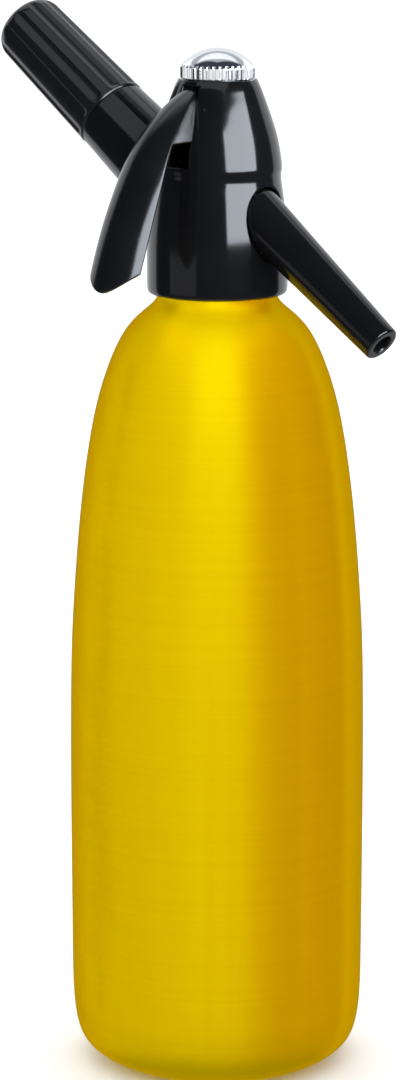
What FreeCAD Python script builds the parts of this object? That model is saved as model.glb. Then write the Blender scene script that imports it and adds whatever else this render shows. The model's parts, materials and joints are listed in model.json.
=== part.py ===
import FreeCAD, Part
import math
import os
import Sketcher
from FreeCAD import Placement, Rotation
from FreeCAD import Vector as V

# Soda siphon. Millimetres. Origin: centre of the foot ring on the standing plane.
# +Z up, +X towards the spout, -X towards the charger holder, -Y towards the lever.

doc = FreeCAD.newDocument("SodaSiphon")
sheet = doc.addObject("Spreadsheet::Sheet", "Sizes")

# ---------------------------------------------------------------- driving sizes
SIZES = [
    # bottle
    ("bottleRad", 45.18), ("bottleWall", 1.6), ("footRad", 30.0), ("footInner", 26.5),
    ("footRise", 3.0), ("shoulderTop", 239.4), ("neckFootRad", 18.1), ("neckStep", 240.0),
    ("neckRoot", 16.4), ("neckCrest", 17.0), ("neckBore", 14.2), ("lipTop", 255.0),
    ("neckPitch", 3.0), ("neckThreadLen", 8.4),
    # casing
    ("headBase", 239.8), ("headRad", 21.3), ("skirtTop", 255.0), ("waistLow", 274.5),
    ("waistHigh", 278.0), ("waistRad", 19.2), ("headTop", 303.6), ("casingBore", 18.65),
    ("ledgeTop", 263.3), ("capBore", 9.75), ("cavityTop", 299.8),
    ("slotHalf", 4.3), ("slotLow", 279.1), ("slotHigh", 300.7),
    # holder axis: crosses the centre line at axisRise, rises at holderTilt
    ("axisRise", 260.58), ("holderTilt", 35.87), ("bossEnd", 51.4), ("bossTipRad", 11.75),
    ("bossRootRad", 13.4), ("bossStart", 16.0), ("bossBore", 10.65), ("fitBore", 9.05), ("bossStep", 34.2),
    # valve body
    ("skirtRad", 18.6), ("skirtBore", 17.15), ("skirtLow", 243.2), ("ceiling", 257.1),
    ("deckTop", 263.2), ("columnRad", 7.2), ("pistonBore", 5.2), ("columnTop", 291.5),
    ("seatLow", 264.5), ("passRad", 2.6), ("socketRad", 4.1), ("socketTop", 261.0),
    ("nozzleRad", 6.2), ("nozzleLow", 250.0),
    # spout axis: crosses the centre line at spoutRise, falls at spoutTilt
    ("spoutRise", 276.47), ("spoutTilt", 36.38), ("spoutEnd", 78.26), ("spoutRootRad", 8.03),
    ("spoutTipRad", 5.66), ("waterBore", 3.5), ("spoutBore", 3.15), ("spigotRad", 4.8), ("spigotStart", 12.0),
    ("spoutCore", 18.95),
    # piston and spring
    ("rodRad", 2.0), ("rodTip", 1.5), ("discRad", 4.4), ("guideRad", 5.1), ("seatTop", 267.0),
    ("collarLow", 297.3), ("collarRad", 5.5), ("collarThick", 2.0), ("springRad", 3.9),
    ("springWire", 0.45), ("springTop", 308.4),
    # lever
    ("pinRise", 295.5), ("pinOut", 12.5), ("pinRad", 1.1), ("armHalf", 3.8), ("leverWall", 1.9),
    # cap
    ("capRad", 11.2), ("capLow", 303.9), ("capKnurlTop", 307.9), ("capTop", 312.8),
    ("spigotOut", 9.6), ("spigotIn", 8.0), ("capThreadLow", 300.0), ("knurlCount", 36),
    # holder, charger
    ("holderMouth", 51.6), ("holderMouthRad", 11.95), ("holderEndRad", 10.76), ("holderEnd", 97.9),
    ("holderBore", 9.1), ("holderFloor", 95.4), ("holderSpigot", 43.6), ("holderRoot", 9.95),
    ("holderCrest", 10.5), ("holderPitch", 2.0), ("grooveCount", 11), ("chargerRad", 8.9),
    ("chargerTip", 29.2), ("chargerLen", 65.0), ("chargerNeck", 4.2),
    # riser tube
    ("riserRad", 4.0), ("riserBore", 2.8), ("riserLow", 12.0), ("riserTop", 260.8),
]
for row, (alias, value) in enumerate(SIZES, start=1):
    sheet.set("A%d" % row, alias)
    sheet.set("B%d" % row, str(value))
    sheet.setAlias("B%d" % row, alias)
doc.recompute()
D = dict(SIZES)


class Q:
    """A size that carries its value and the sheet expression that drives it."""

    def __init__(self, val, ref):
        self.val = float(val)
        self.ref = ref

    def _two(self, other, sign, flip=False):
        o = other if isinstance(other, Q) else Q(other, repr(float(other)))
        a, b = (o, self) if flip else (self, o)
        if sign == "+":
            v = a.val + b.val
        elif sign == "-":
            v = a.val - b.val
        else:
            v = a.val * b.val
        return Q(v, "(%s %s %s)" % (a.ref, sign, b.ref))

    def __add__(self, o):
        return self._two(o, "+")

    def __radd__(self, o):
        return self._two(o, "+", True)

    def __sub__(self, o):
        return self._two(o, "-")

    def __rsub__(self, o):
        return self._two(o, "-", True)

    def __mul__(self, o):
        return self._two(o, "*")

    def __rmul__(self, o):
        return self._two(o, "*", True)


def q(name):
    return Q(D[name], "Sizes." + name)


def num(x):
    return x.val if isinstance(x, Q) else float(x)


def bind(obj, prop, size):
    if isinstance(size, Q):
        obj.setExpression(prop, size.ref)
    else:
        setattr(obj, prop, size)


# ------------------------------------------------------------------- helpers
PARTS = []


def keep(obj, label):
    obj.Label = label
    PARTS.append((obj, label))
    return obj


def new_body(name):
    return doc.addObject("PartDesign::Body", name)


def origin_plane(body, role):
    for feat in body.Origin.OriginFeatures:
        if feat.Role == role:
            return feat
    raise RuntimeError("no plane " + role)


def new_sketch(body, name, role="XZ_Plane", offset=None):
    sk = body.newObject("Sketcher::SketchObject", name)
    sk.AttachmentSupport = (origin_plane(body, role), [""])
    sk.MapMode = "FlatFace"
    if offset is not None:
        sk.AttachmentOffset = offset
    return sk


def polygon(sk, pts):
    """Closed polygon whose corners are dimensioned from the sketch origin."""
    n = len(pts)
    for i in range(n):
        a, b = pts[i], pts[(i + 1) % n]
        sk.addGeometry(Part.LineSegment(V(num(a[0]), num(a[1]), 0), V(num(b[0]), num(b[1]), 0)), False)
    for i in range(n):
        sk.addConstraint(Sketcher.Constraint("Coincident", i, 2, (i + 1) % n, 1))
    for i in range(n):
        for axis, kind, line in ((0, "DistanceX", -2), (1, "DistanceY", -1)):
            size = pts[i][axis]
            if abs(num(size)) < 1e-9:
                sk.addConstraint(Sketcher.Constraint("PointOnObject", i, 1, line))
                continue
            c = sk.addConstraint(Sketcher.Constraint(kind, -1, 1, i, 1, num(size)))
            if isinstance(size, Q):
                sk.setExpression("Constraints[%d]" % c, size.ref)


def turned(body, name, pts, cut=False):
    """Revolve a closed profile of (radius, height) corners about the body's Z axis."""
    sk = new_sketch(body, name + "Profile")
    polygon(sk, pts)
    kind = "PartDesign::Groove" if cut else "PartDesign::Revolution"
    feat = body.newObject(kind, name)
    feat.Profile = sk
    feat.ReferenceAxis = (sk, ["V_Axis"])
    feat.Angle = 360
    sk.Visibility = False
    return feat


def helix_thread(body, name, root, crest, start, pitch, length):
    """External thread: a trapezoid ridge wound about the body's Z axis."""
    sk = new_sketch(body, name + "Profile")
    half = num(pitch) * 0.30
    tip = num(pitch) * 0.10
    z0 = start + half
    polygon(sk, [(root - 0.25, z0 - half), (crest, z0 - tip), (crest, z0 + tip), (root - 0.25, z0 + half)])
    feat = body.newObject("PartDesign::AdditiveHelix", name)
    feat.Profile = sk
    feat.ReferenceAxis = (sk, ["V_Axis"])
    feat.Mode = 0
    bind(feat, "Pitch", pitch)
    bind(feat, "Height", length)
    feat.Angle = 0
    feat.LeftHanded = False
    feat.Reversed = False
    return feat


def cylinder(name, radius, low, high, place=None):
    """Part cylinder along the local Z axis from low to high."""
    c = doc.addObject("Part::Cylinder", name)
    bind(c, "Radius", radius)
    size = high - low
    if isinstance(size, Q):
        c.setExpression("Height", size.ref)
    else:
        c.Height = size
    frame = place if place is not None else Placement()
    c.Placement = frame.multiply(Placement(V(0, 0, num(low)), Rotation()))
    return c


def cone(name, r1, r2, low, high, place):
    c = doc.addObject("Part::Cone", name)
    bind(c, "Radius1", r1)
    bind(c, "Radius2", r2)
    size = high - low
    if isinstance(size, Q):
        c.setExpression("Height", size.ref)
    else:
        c.Height = size
    c.Placement = place.multiply(Placement(V(0, 0, num(low)), Rotation()))
    return c


def box(name, x0, x1, y0, y1, z0, z1):
    b = doc.addObject("Part::Box", name)
    for prop, lo, hi in (("Length", x0, x1), ("Width", y0, y1), ("Height", z0, z1)):
        size = hi - lo
        if isinstance(size, Q):
            b.setExpression(prop, size.ref)
        else:
            setattr(b, prop, size)
    b.Placement = Placement(V(num(x0), num(y0), num(z0)), Rotation())
    return b


def fuse(name, shapes):
    f = doc.addObject("Part::MultiFuse", name)
    f.Shapes = shapes
    return f


def cut(name, base, tool):
    c = doc.addObject("Part::Cut", name)
    c.Base = base
    c.Tool = tool
    return c


def common(name, a, b):
    c = doc.addObject("Part::MultiCommon", name)
    c.Shapes = [a, b]
    return c


# Frames of the two sloping axes: local Z runs outwards along the axis.
HOLDER = Placement(V(0, 0, D["axisRise"]), Rotation(V(0, 1, 0), -(90.0 - D["holderTilt"])))
SPOUT = Placement(V(0, 0, D["spoutRise"]), Rotation(V(0, 1, 0), 90.0 + D["spoutTilt"]))

# ------------------------------------------------------------------ the bottle
# Deep-drawn aluminium bottle: upright wall, long ogive shoulder, threaded neck.
# Outer profile from the foot ring up to the neck, (share of the body radius, height).
OUTSIDE = [(30.00, 0.0), (31.60, 0.22), (33.80, 0.98), (36.90, 2.55), (39.70, 4.55), (41.75, 6.90), (43.15, 10.00), (44.05, 14.00),
           (44.66, 20.0), (44.98, 32.0), (45.07, 48.0), (45.14, 70.0), (45.18, 95.0), (45.03, 115.0), (44.58, 134.0),
           (43.66, 150.0), (42.50, 165.0), (40.96, 180.0), (38.82, 195.0), (36.62, 206.0), (34.02, 215.0),
           (31.32, 222.0), (28.14, 228.0), (24.88, 232.0), (20.90, 235.5)]
OUTSIDE = [(r * D["bottleRad"] / 45.18, z) for r, z in OUTSIDE]


def offset_in(points, wall):
    out = []
    for i, (r, z) in enumerate(points):
        a = points[max(i - 1, 0)]
        b = points[min(i + 1, len(points) - 1)]
        dr, dz = b[0] - a[0], b[1] - a[1]
        n = math.hypot(dr, dz)
        out.append((r - wall * dz / n, z + wall * dr / n))
    return out


bottle = new_body("BottleBody")
bsk = new_sketch(bottle, "BottleProfile")
wall = D["bottleWall"]
outer_pts = OUTSIDE + [(19.3, 237.0), (18.45, 238.2), (D["neckFootRad"], D["shoulderTop"])]
inner_pts = offset_in(OUTSIDE, wall)
inner_pts[0] = (D["footRad"], wall)
inner_pts += [(D["neckBore"] + 2.4, D["shoulderTop"] - 3.1), (D["neckBore"], D["shoulderTop"] - 0.2)]
outer = Part.BSplineCurve()
outer.interpolate([V(r, z, 0) for r, z in outer_pts], False)
inner = Part.BSplineCurve()
inner.interpolate([V(r, z, 0) for r, z in reversed(inner_pts)], False)


def seg(a, b):
    return bsk.addGeometry(Part.LineSegment(V(a[0], a[1], 0), V(b[0], b[1], 0)), False)


def arc3(a, m, b):
    return bsk.addGeometry(Part.Arc(V(a[0], a[1], 0), V(m[0], m[1], 0), V(b[0], b[1], 0)), False)


# outside, from the centre of the concave base round to the lip, and back down inside
base_c = (0.0, D["footRise"])
foot_in = (D["footInner"], 0.0)
foot_out = (D["footRad"], 0.0)
g = []
g.append(arc3(base_c, (foot_in[0] * 0.55, D["footRise"] * 0.72), foot_in))
g.append(seg(foot_in, foot_out))
g.append(bsk.addGeometry(outer, False))
g.append(seg(outer_pts[-1], (D["neckFootRad"], D["neckStep"])))
g.append(seg((D["neckFootRad"], D["neckStep"]), (D["neckRoot"], D["neckStep"])))
g.append(seg((D["neckRoot"], D["neckStep"]), (D["neckRoot"], D["lipTop"] - 0.5)))
g.append(seg((D["neckRoot"], D["lipTop"] - 0.5), (D["neckRoot"] - 0.5, D["lipTop"])))
g.append(seg((D["neckRoot"] - 0.5, D["lipTop"]), (D["neckBore"], D["lipTop"])))
g.append(seg((D["neckBore"], D["lipTop"]), inner_pts[-1]))
g.append(bsk.addGeometry(inner, False))
g.append(seg((D["footRad"], wall), (foot_in[0], wall)))
floor_pts = [(foot_in[0], wall), (foot_in[0] * 0.8, wall + D["footRise"] * 0.38), (foot_in[0] * 0.55, wall + D["footRise"] * 0.70),
             (foot_in[0] * 0.28, wall + D["footRise"] * 0.92), (0.0, wall + D["footRise"])]
for a, b in zip(floor_pts, floor_pts[1:]):
    g.append(seg(a, b))
g.append(seg((0.0, D["footRise"] + wall), base_c))
dims = [
    (g[1], 1, "DistanceX", q("footInner")), (g[1], 2, "DistanceX", q("footRad")),
    (g[3], 2, "DistanceX", q("neckFootRad")), (g[3], 2, "DistanceY", q("neckStep")),
    (g[5], 1, "DistanceX", q("neckRoot")), (g[7], 1, "DistanceY", q("lipTop")),
    (g[8], 1, "DistanceX", q("neckBore")), (g[-1], 2, "DistanceY", q("footRise")),
]
for geo, pos, kind, size in dims:
    c = bsk.addConstraint(Sketcher.Constraint(kind, -1, 1, geo, pos, size.val))
    bsk.setExpression("Constraints[%d]" % c, size.ref)
rev = bottle.newObject("PartDesign::Revolution", "BottleShell")
rev.Profile = bsk
rev.ReferenceAxis = (bsk, ["V_Axis"])
rev.Angle = 360
doc.recompute()
helix_thread(bottle, "NeckThread", q("neckRoot"), q("neckCrest"), 242.6, q("neckPitch"), q("neckThreadLen"))
keep(bottle, "bottle_shell")

# ------------------------------------------------------------- the riser tube
riser = new_body("RiserBody")
turned(riser, "RiserTube", [(q("riserBore"), q("riserLow")), (q("riserRad"), q("riserLow")),
                            (q("riserRad"), q("riserTop")), (q("riserBore"), q("riserTop"))])
keep(riser, "riser_tube")

# -------------------------------------------------------------- the neck seal
gasket = new_body("NeckGasketBody")
turned(gasket, "NeckGasket", [(q("neckBore") - 0.6, q("lipTop") + 0.05), (q("neckCrest") - 0.1, q("lipTop") + 0.05),
                              (q("neckCrest") - 0.1, q("ceiling") - 0.05), (q("neckBore") - 0.6, q("ceiling") - 0.05)])
keep(gasket, "neck_gasket")

# ------------------------------------------------------------- the valve body
vb = new_body("ValveTurned")
turned(vb, "ValveCore", [
    (q("socketRad") + 1.35, q("nozzleLow")), (q("nozzleRad"), q("nozzleLow")), (q("nozzleRad"), q("ceiling")),
    (q("skirtBore"), q("ceiling")), (q("skirtBore"), q("skirtLow")), (q("skirtRad"), q("skirtLow")),
    (q("skirtRad"), q("deckTop")), (q("columnRad"), q("deckTop")), (q("columnRad"), q("columnTop")),
    (q("pistonBore"), q("columnTop")), (q("pistonBore"), q("seatLow")), (q("passRad"), q("seatLow")),
    (q("passRad"), q("socketTop")), (q("socketRad"), q("socketTop")), (q("socketRad"), q("nozzleLow") + 2.2),
    (q("socketRad") + 1.35, q("nozzleLow") + 2.2)])
gas_boss = cylinder("GasBoss", 7.0, 3.0, 17.2, HOLDER)
water_boss = cylinder("WaterBoss", 6.6, 4.0, 15.3, SPOUT)
vb_deck = cylinder("DeckKeep", q("skirtRad"), q("ceiling"), q("columnTop"))
bosses = common("BossesTrimmed", fuse("BossPair", [gas_boss, water_boss]), vb_deck)
vb_sum = fuse("ValveSum", [vb, bosses])
vb_tools = fuse("ValveTools", [
    cylinder("BoreClear", q("pistonBore"), q("seatLow"), q("columnTop") + 2.0),
    cylinder("WaterPass", q("waterBore"), 3.0, 12.5, SPOUT),
    cylinder("SpigotSeat", q("spigotRad") + 0.05, q("spigotStart") - 0.2, 27.0, SPOUT),
    cylinder("GasSeat", 4.55, 11.2, 18.0, HOLDER),
    cylinder("GasDuct", 1.4, 8.4, 12.0, HOLDER),
    cylinder("GasPort", 1.2, 255.5, 266.3, Placement(V(-7.9, 0, 0), Rotation())),
    cylinder("PassClear", q("passRad"), q("socketTop") - 1.0, q("seatLow") + 0.5),
    cylinder("SocketClear", q("socketRad"), q("nozzleLow") + 2.2, q("socketTop")),
    cylinder("FlangeRoom", q("fitBore"), 17.2, q("bossStep") + 1.0, HOLDER),
])
keep(cut("ValveBody", vb_sum, vb_tools), "valve_body")

seat = new_body("SeatBody")
turned(seat, "Seat", [(q("passRad"), q("seatLow") + 0.02), (q("pistonBore") - 0.05, q("seatLow") + 0.02),
                      (q("pistonBore") - 0.05, q("seatTop") - 0.6), (3.7, q("seatTop") - 0.6),
                      (3.4, q("seatTop")), (q("passRad"), q("seatTop"))])
keep(seat, "valve_seat")

tube_seal = new_body("TubeGasketBody")
turned(tube_seal, "TubeGasket", [(q("riserRad") + 0.05, q("nozzleLow") + 0.1), (q("socketRad") + 1.3, q("nozzleLow") + 0.1),
                                 (q("socketRad") + 1.3, q("nozzleLow") + 2.15), (q("riserRad") + 0.05, q("nozzleLow") + 2.15)])
keep(tube_seal, "tube_gasket")

# ------------------------------------------------------------------ the casing
OUTER = [(20.1, 239.8), (21.0, 240.4), (21.3, 241.7), (21.3, 255.0), (20.95, 260.0), (20.35, 266.0),
         (19.65, 271.5), (19.2, 274.5), (19.25, 276.2), (19.45, 278.0), (19.1, 281.0), (18.7, 284.0),
         (18.05, 287.0), (17.2, 290.0), (16.2, 293.0), (15.1, 296.0), (14.05, 299.0), (12.85, 302.0),
         (11.95, 303.6)]
hc = new_body("CasingTurned")
outline = [(Q(r, "Sizes.headRad * %.6f" % (r / D["headRad"])), z) for r, z in OUTER]
turned(hc, "CasingShell", [(q("casingBore"), q("headBase"))] + outline[:-1] + [(outline[-1][0], q("headTop"))] + [
    (q("capBore"), q("headTop")), (q("capBore"), q("cavityTop")), (11.6, q("cavityTop")), (13.1, 296.0),
    (15.1, 290.0), (16.5, 284.0), (17.1, 278.0), (16.9, q("ledgeTop")), (q("casingBore"), q("ledgeTop"))])
full = new_body("CasingSolid")
turned(full, "CasingFull", [(0, q("headBase"))] + outline[:-1] + [(outline[-1][0], q("headTop")), (0, q("headTop"))])
boss = cone("HolderBoss", q("bossRootRad"), q("bossTipRad"), q("bossStart"), q("bossEnd"), HOLDER)
cavity = new_body("CavitySolid")
turned(cavity, "CavityFull", [(0, q("headBase") - 1.0), (q("casingBore"), q("headBase") - 1.0), (q("casingBore"), q("ledgeTop")),
                              (16.9, q("ledgeTop")), (17.1, 278.0), (16.5, 284.0), (15.1, 290.0), (13.1, 296.0),
                              (11.6, q("cavityTop")), (0, q("cavityTop"))])
boss_out = cut("BossOutside", boss, cavity)
cheeks = common("Cheeks", fuse("CheekPair", [
    box("CheekPlus", q("slotHalf"), 10.5, -17.0, -9.2, 291.3, q("cavityTop")),
    box("CheekMinus", -10.5, -1.0 * q("slotHalf"), -17.0, -9.2, 291.3, q("cavityTop"))]), full)
spout_sleeve = common("SpoutSleeve", cylinder("SleeveTube", 10.2, 17.0, 30.0, SPOUT), full)
hc_sum = fuse("CasingSum", [hc, boss_out, cheeks, cut("SleeveTrim", spout_sleeve, fuse("SleeveRooms", [
    cylinder("SleeveRoom", 16.6, 240.0, 300.0), cylinder("SleeveSkirt", q("casingBore"), 240.0, q("ledgeTop"))]))])
pin_hole = cylinder("PinHole", q("pinRad") + 0.03, -6.45, 6.45,
                    Placement(V(0, -D["pinOut"], D["pinRise"]), Rotation(V(0, 1, 0), 90)))
hc_tools = fuse("CasingTools", [
    cylinder("BossBore", q("bossBore"), q("bossStep"), q("bossEnd") + 3.0, HOLDER),
    cylinder("FitBore", q("fitBore"), 14.8, q("bossStep") + 1.0, HOLDER),
    cone("SpoutHole", q("spoutRootRad") + 0.56, q("spoutRootRad") - 0.58, 11.0, 40.0, SPOUT),
    box("LeverSlot", -1.0 * q("slotHalf"), q("slotHalf"), -30.0, -8.6, q("slotLow"), q("slotHigh")),
    box("NoseSlot", -1.0 * q("slotHalf"), q("slotHalf"), -30.0, -11.3, q("slotHigh") - 1.0, q("slotHigh") + 1.8),
    pin_hole])
keep(cut("HeadCasing", hc_sum, hc_tools), "head_casing")

# ------------------------------------------------------------------- the spout
sp = new_body("SpoutBody")
turned(sp, "SpoutTube", [
    (q("spoutBore"), q("spigotStart")), (q("spoutRootRad") + 0.22, q("spigotStart")),
    (q("spoutTipRad"), q("spoutEnd") - 0.5),
    (q("spoutTipRad") - 0.45, q("spoutEnd")), (q("spoutBore") + 0.25, q("spoutEnd")),
    (q("spoutBore"), q("spoutEnd") - 0.25)])
turned(sp, "SealGroove", [(3.9, 14.0), (5.5, 14.0), (5.5, 15.4), (3.9, 15.4)], cut=True)
sp.Placement = SPOUT
# inside the casing only the slim spigot goes on, into the valve body
spigot_room = cut("SpigotRoom", cylinder("SpoutCoreRoom", q("spoutCore"), 225.0, 310.0),
                  cylinder("SpigotKeep", q("spigotRad"), 6.0, 60.0, SPOUT))
keep(cut("Spout", sp, spigot_room), "spout")


def ring(name, label, major, minor, at, place):
    t = doc.addObject("Part::Torus", name)
    t.Radius1 = major
    t.Radius2 = minor
    t.Placement = place.multiply(Placement(V(0, 0, at), Rotation()))
    return keep(t, label)


ring("SpoutSealRing", "spout_seal", 4.42, 0.40, 14.7, SPOUT)

# ------------------------------------------------------------------ the piston
pst = new_body("PistonBody")
turned(pst, "PistonRod", [
    (0, 268.52), (q("discRad") + 0.2, 268.52), (q("discRad") + 0.2, 270.6), (3.0, 271.6), (q("rodRad"), 272.6),
    (q("rodRad"), 283.4), (q("guideRad"), 283.9), (q("guideRad"), 285.4), (4.0, 285.4), (4.0, 286.9),
    (q("guideRad"), 286.9), (q("guideRad"), 288.4), (q("rodRad"), 289.0), (q("rodRad"), q("collarLow")),
    (q("rodTip"), q("collarLow")), (q("rodTip"), 302.0), (0, 302.0)])
keep(pst, "valve_piston")
vs = new_body("ValveSealBody")
turned(vs, "ValveSeal", [(0, q("seatTop") + 0.05), (q("discRad"), q("seatTop") + 0.05), (q("discRad"), 268.5), (0, 268.5)])
keep(vs, "valve_seal")
ring("PistonRing", "piston_oring", 4.58, 0.53, 286.15, Placement())
lc = new_body("LiftCollarBody")
turned(lc, "LiftCollar", [(q("rodTip") + 0.05, q("collarLow") + 0.02), (q("collarRad"), q("collarLow") + 0.02),
                          (q("collarRad"), q("collarLow") + 1.4), (q("collarRad") - 0.6, q("collarLow") + q("collarThick")),
                          (q("rodTip") + 0.05, q("collarLow") + q("collarThick"))])
keep(lc, "lift_collar")
nut = new_body("CollarNutBody")
nsk = new_sketch(nut, "NutHex", "XY_Plane", Placement(V(0, 0, D["collarLow"] + D["collarThick"] + 0.02), Rotation()))
for i in range(6):
    a0, a1 = math.radians(60 * i), math.radians(60 * i + 60)
    nsk.addGeometry(Part.LineSegment(V(2.9 * math.cos(a0), 2.9 * math.sin(a0), 0), V(2.9 * math.cos(a1), 2.9 * math.sin(a1), 0)), False)
for i in range(6):
    nsk.addConstraint(Sketcher.Constraint("Coincident", i, 2, (i + 1) % 6, 1))
nsk.addGeometry(Part.Circle(V(0, 0, 0), V(0, 0, 1), D["rodTip"] + 0.05), False)
cr = nsk.addConstraint(Sketcher.Constraint("Radius", 6, D["rodTip"] + 0.05))
nsk.setExpression("Constraints[%d]" % cr, "Sizes.rodTip + 0.05")
npad = nut.newObject("PartDesign::Pad", "NutPad")
npad.Profile = nsk
npad.Length = 2.0
keep(nut, "collar_nut")

# Valve spring: round wire wound between the collar and the washer under the cap.
spring_low = D["collarLow"] + D["collarThick"] + 0.03
hx = doc.addObject("Part::Helix", "SpringPath")
hx.Radius = D["springRad"]
hx.setExpression("Radius", "Sizes.springRad")
spring_span = D["springTop"] - spring_low - 2 * D["springWire"]
hx.Pitch = spring_span / 4.75
hx.Height = spring_span
hx.Placement = Placement(V(0, 0, spring_low + D["springWire"]), Rotation())
wire = doc.addObject("Part::Circle", "SpringWireEnd")
wire.setExpression("Radius", "Sizes.springWire")
wire.Placement = Placement(V(D["springRad"], 0, spring_low + D["springWire"]), Rotation(V(1, 0, 0), 90))
doc.recompute()
sweep = doc.addObject("Part::Sweep", "ValveSpring")
sweep.Sections = [wire]
sweep.Spine = (hx, [])
sweep.Solid = True
sweep.Frenet = True
keep(sweep, "valve_spring")

washer = new_body("WasherBody")
turned(washer, "SpringWasher", [(2.4, q("springTop") + 0.03), (5.4, q("springTop") + 0.03), (5.4, 308.93), (2.4, 308.93)])
keep(washer, "spring_washer")

# --------------------------------------------------------------- the chrome cap
cap = new_body("CapBody")
dome = []
dr = (D["capRad"] ** 2 + (D["capTop"] - D["capKnurlTop"] - 0.4) ** 2) / (2 * (D["capTop"] - D["capKnurlTop"] - 0.4))
for k in range(0, 9):
    r = (D["capRad"] - 0.25) * (1 - k / 8.0)
    dome.append((r, D["capTop"] - dr + math.sqrt(dr * dr - r * r)))
turned(cap, "CapTurned", [
    (q("spigotIn"), q("capThreadLow")), (q("spigotOut") - 0.5, q("capThreadLow")), (q("spigotOut") - 0.5, q("capLow")),
    (q("capRad") - 0.3, q("capLow")), (q("capRad"), q("capLow") + 0.3), (q("capRad"), q("capKnurlTop") - 0.3)]
    + [(r, z) for r, z in dome[:-1]] + [(0, q("capTop"))] + [(0, 309.0), (q("spigotIn"), 309.0)])
doc.recompute()
helix_thread(cap, "CapThread", q("spigotOut") - 0.5, q("spigotOut"), 300.25, 1.5, 2.6)
doc.recompute()
ksk = new_sketch(cap, "KnurlNotch", "XY_Plane", Placement(V(0, 0, D["capKnurlTop"] + 0.6), Rotation()))
kr = D["capRad"]
polygon(ksk, [(kr - 0.42, 0.16), (kr - 0.42, -0.16), (kr + 0.6, -0.95), (kr + 0.6, 0.95)])
kp = cap.newObject("PartDesign::Pocket", "KnurlCut")
kp.Profile = ksk
kp.Type = 0
kp.Length = D["capKnurlTop"] - D["capLow"] + 1.2
kp.Reversed = False
doc.recompute()
pol = cap.newObject("PartDesign::PolarPattern", "KnurlRing")
pol.Originals = [kp]
pol.Axis = (ksk, ["N_Axis"])
pol.Angle = 360
pol.Occurrences = int(D["knurlCount"])
pol.setExpression("Occurrences", "Sizes.knurlCount")
cap.Tip = pol
keep(cap, "top_cap")

# ---------------------------------------------------------- charger inlet parts
fit = new_body("FittingBody")
turned(fit, "InletFitting", [
    (1.4, 11.4), (4.5, 11.4), (4.5, 17.4), (q("fitBore") - 0.05, 17.4), (q("fitBore") - 0.05, q("bossStep") - 0.2),
    (4.55, q("bossStep") - 0.2), (4.55, q("chargerTip") - 4.6), (1.2, q("chargerTip") - 4.6), (1.2, 19.0), (3.0, 19.0), (3.0, 12.5), (1.4, 12.5)])
fit.Placement = HOLDER
keep(fit, "inlet_fitting")
chk = new_body("CheckBody")
turned(chk, "CheckPlug", [(0, 15.4), (2.0, 15.4), (2.85, 16.2), (2.85, 18.1), (2.2, 18.9), (0, 18.9)])
chk.Placement = HOLDER
keep(chk, "check_valve")
pin = new_body("PiercingBody")
turned(pin, "PiercingPin", [(0, q("chargerTip") - 4.58), (4.45, q("chargerTip") - 4.58), (4.45, q("chargerTip") - 3.0),
                           (1.15, q("chargerTip") - 3.0), (1.15, q("chargerTip") + 1.8), (0, q("chargerTip") + 3.8)])
psk = new_sketch(pin, "GasHoles", "XY_Plane", Placement(V(0, 0, D["chargerTip"] - 5.6), Rotation()))
for k in range(3):
    a = math.radians(120 * k + 60)
    psk.addGeometry(Part.Circle(V(2.2 * math.cos(a), 2.2 * math.sin(a), 0), V(0, 0, 1), 0.45), False)
pkt = pin.newObject("PartDesign::Pocket", "GasHoleCut")
pkt.Profile = psk
pkt.Type = 0
pkt.Length = 4.0
pkt.Reversed = True
pin.Placement = HOLDER
keep(pin, "piercing_pin")
ret = new_body("RetainerBody")
turned(ret, "PinRetainer", [(2.9, q("chargerTip") - 2.98), (4.5, q("chargerTip") - 2.98), (4.5, q("chargerTip") - 1.3), (2.9, q("chargerTip") - 1.3)])
ret.Placement = HOLDER
keep(ret, "pin_retainer")
cg = new_body("ChargerGasketBody")
turned(cg, "ChargerGasket", [(1.7, q("chargerTip") - 1.28), (4.45, q("chargerTip") - 1.28), (4.45, q("chargerTip") - 0.1), (1.7, q("chargerTip") - 0.1)])
cg.Placement = HOLDER
keep(cg, "charger_gasket")

# ------------------------------------------------------------------ the charger
ch = new_body("ChargerBody")
tip = D["chargerTip"]
rr = D["chargerRad"]
endc = tip + D["chargerLen"] - rr
prof = [(1.35, tip), (q("chargerNeck") - 0.4, tip), (q("chargerNeck"), tip + 0.4), (q("chargerNeck"), tip + 6.0)]
prof += [(5.6, tip + 8.2), (7.2, tip + 11.0), (8.2, tip + 13.6), (8.75, tip + 16.4), (q("chargerRad"), tip + 19.5)]
for k in range(0, 9):
    a = math.radians(k * 90.0 / 8)
    prof.append((rr * math.cos(a), endc + rr * math.sin(a)))
wallc = 1.1
for k in range(8, -1, -1):
    a = math.radians(k * 90.0 / 8)
    prof.append(((rr - wallc) * math.cos(a), endc + (rr - wallc) * math.sin(a)))
prof += [(rr - wallc, tip + 19.8), (7.6, tip + 16.8), (6.9, tip + 14.0), (5.9, tip + 11.6), (3.0, tip + 7.6), (3.0, tip + 1.2), (1.35, tip + 1.2)]
prof = [(0 if abs(num(r)) < 1e-6 else r, z) for r, z in prof]
turned(ch, "Charger", prof)
ch.Placement = HOLDER
keep(ch, "charger_cartridge")

pad = new_body("PadBody")
turned(pad, "HolderPad", [(0, q("chargerTip") + q("chargerLen") + 0.1), (8.6, q("chargerTip") + q("chargerLen") + 0.1),
                          (8.6, q("holderFloor") - 0.05), (0, q("holderFloor") - 0.05)])
pad.Placement = HOLDER
keep(pad, "holder_pad")

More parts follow.
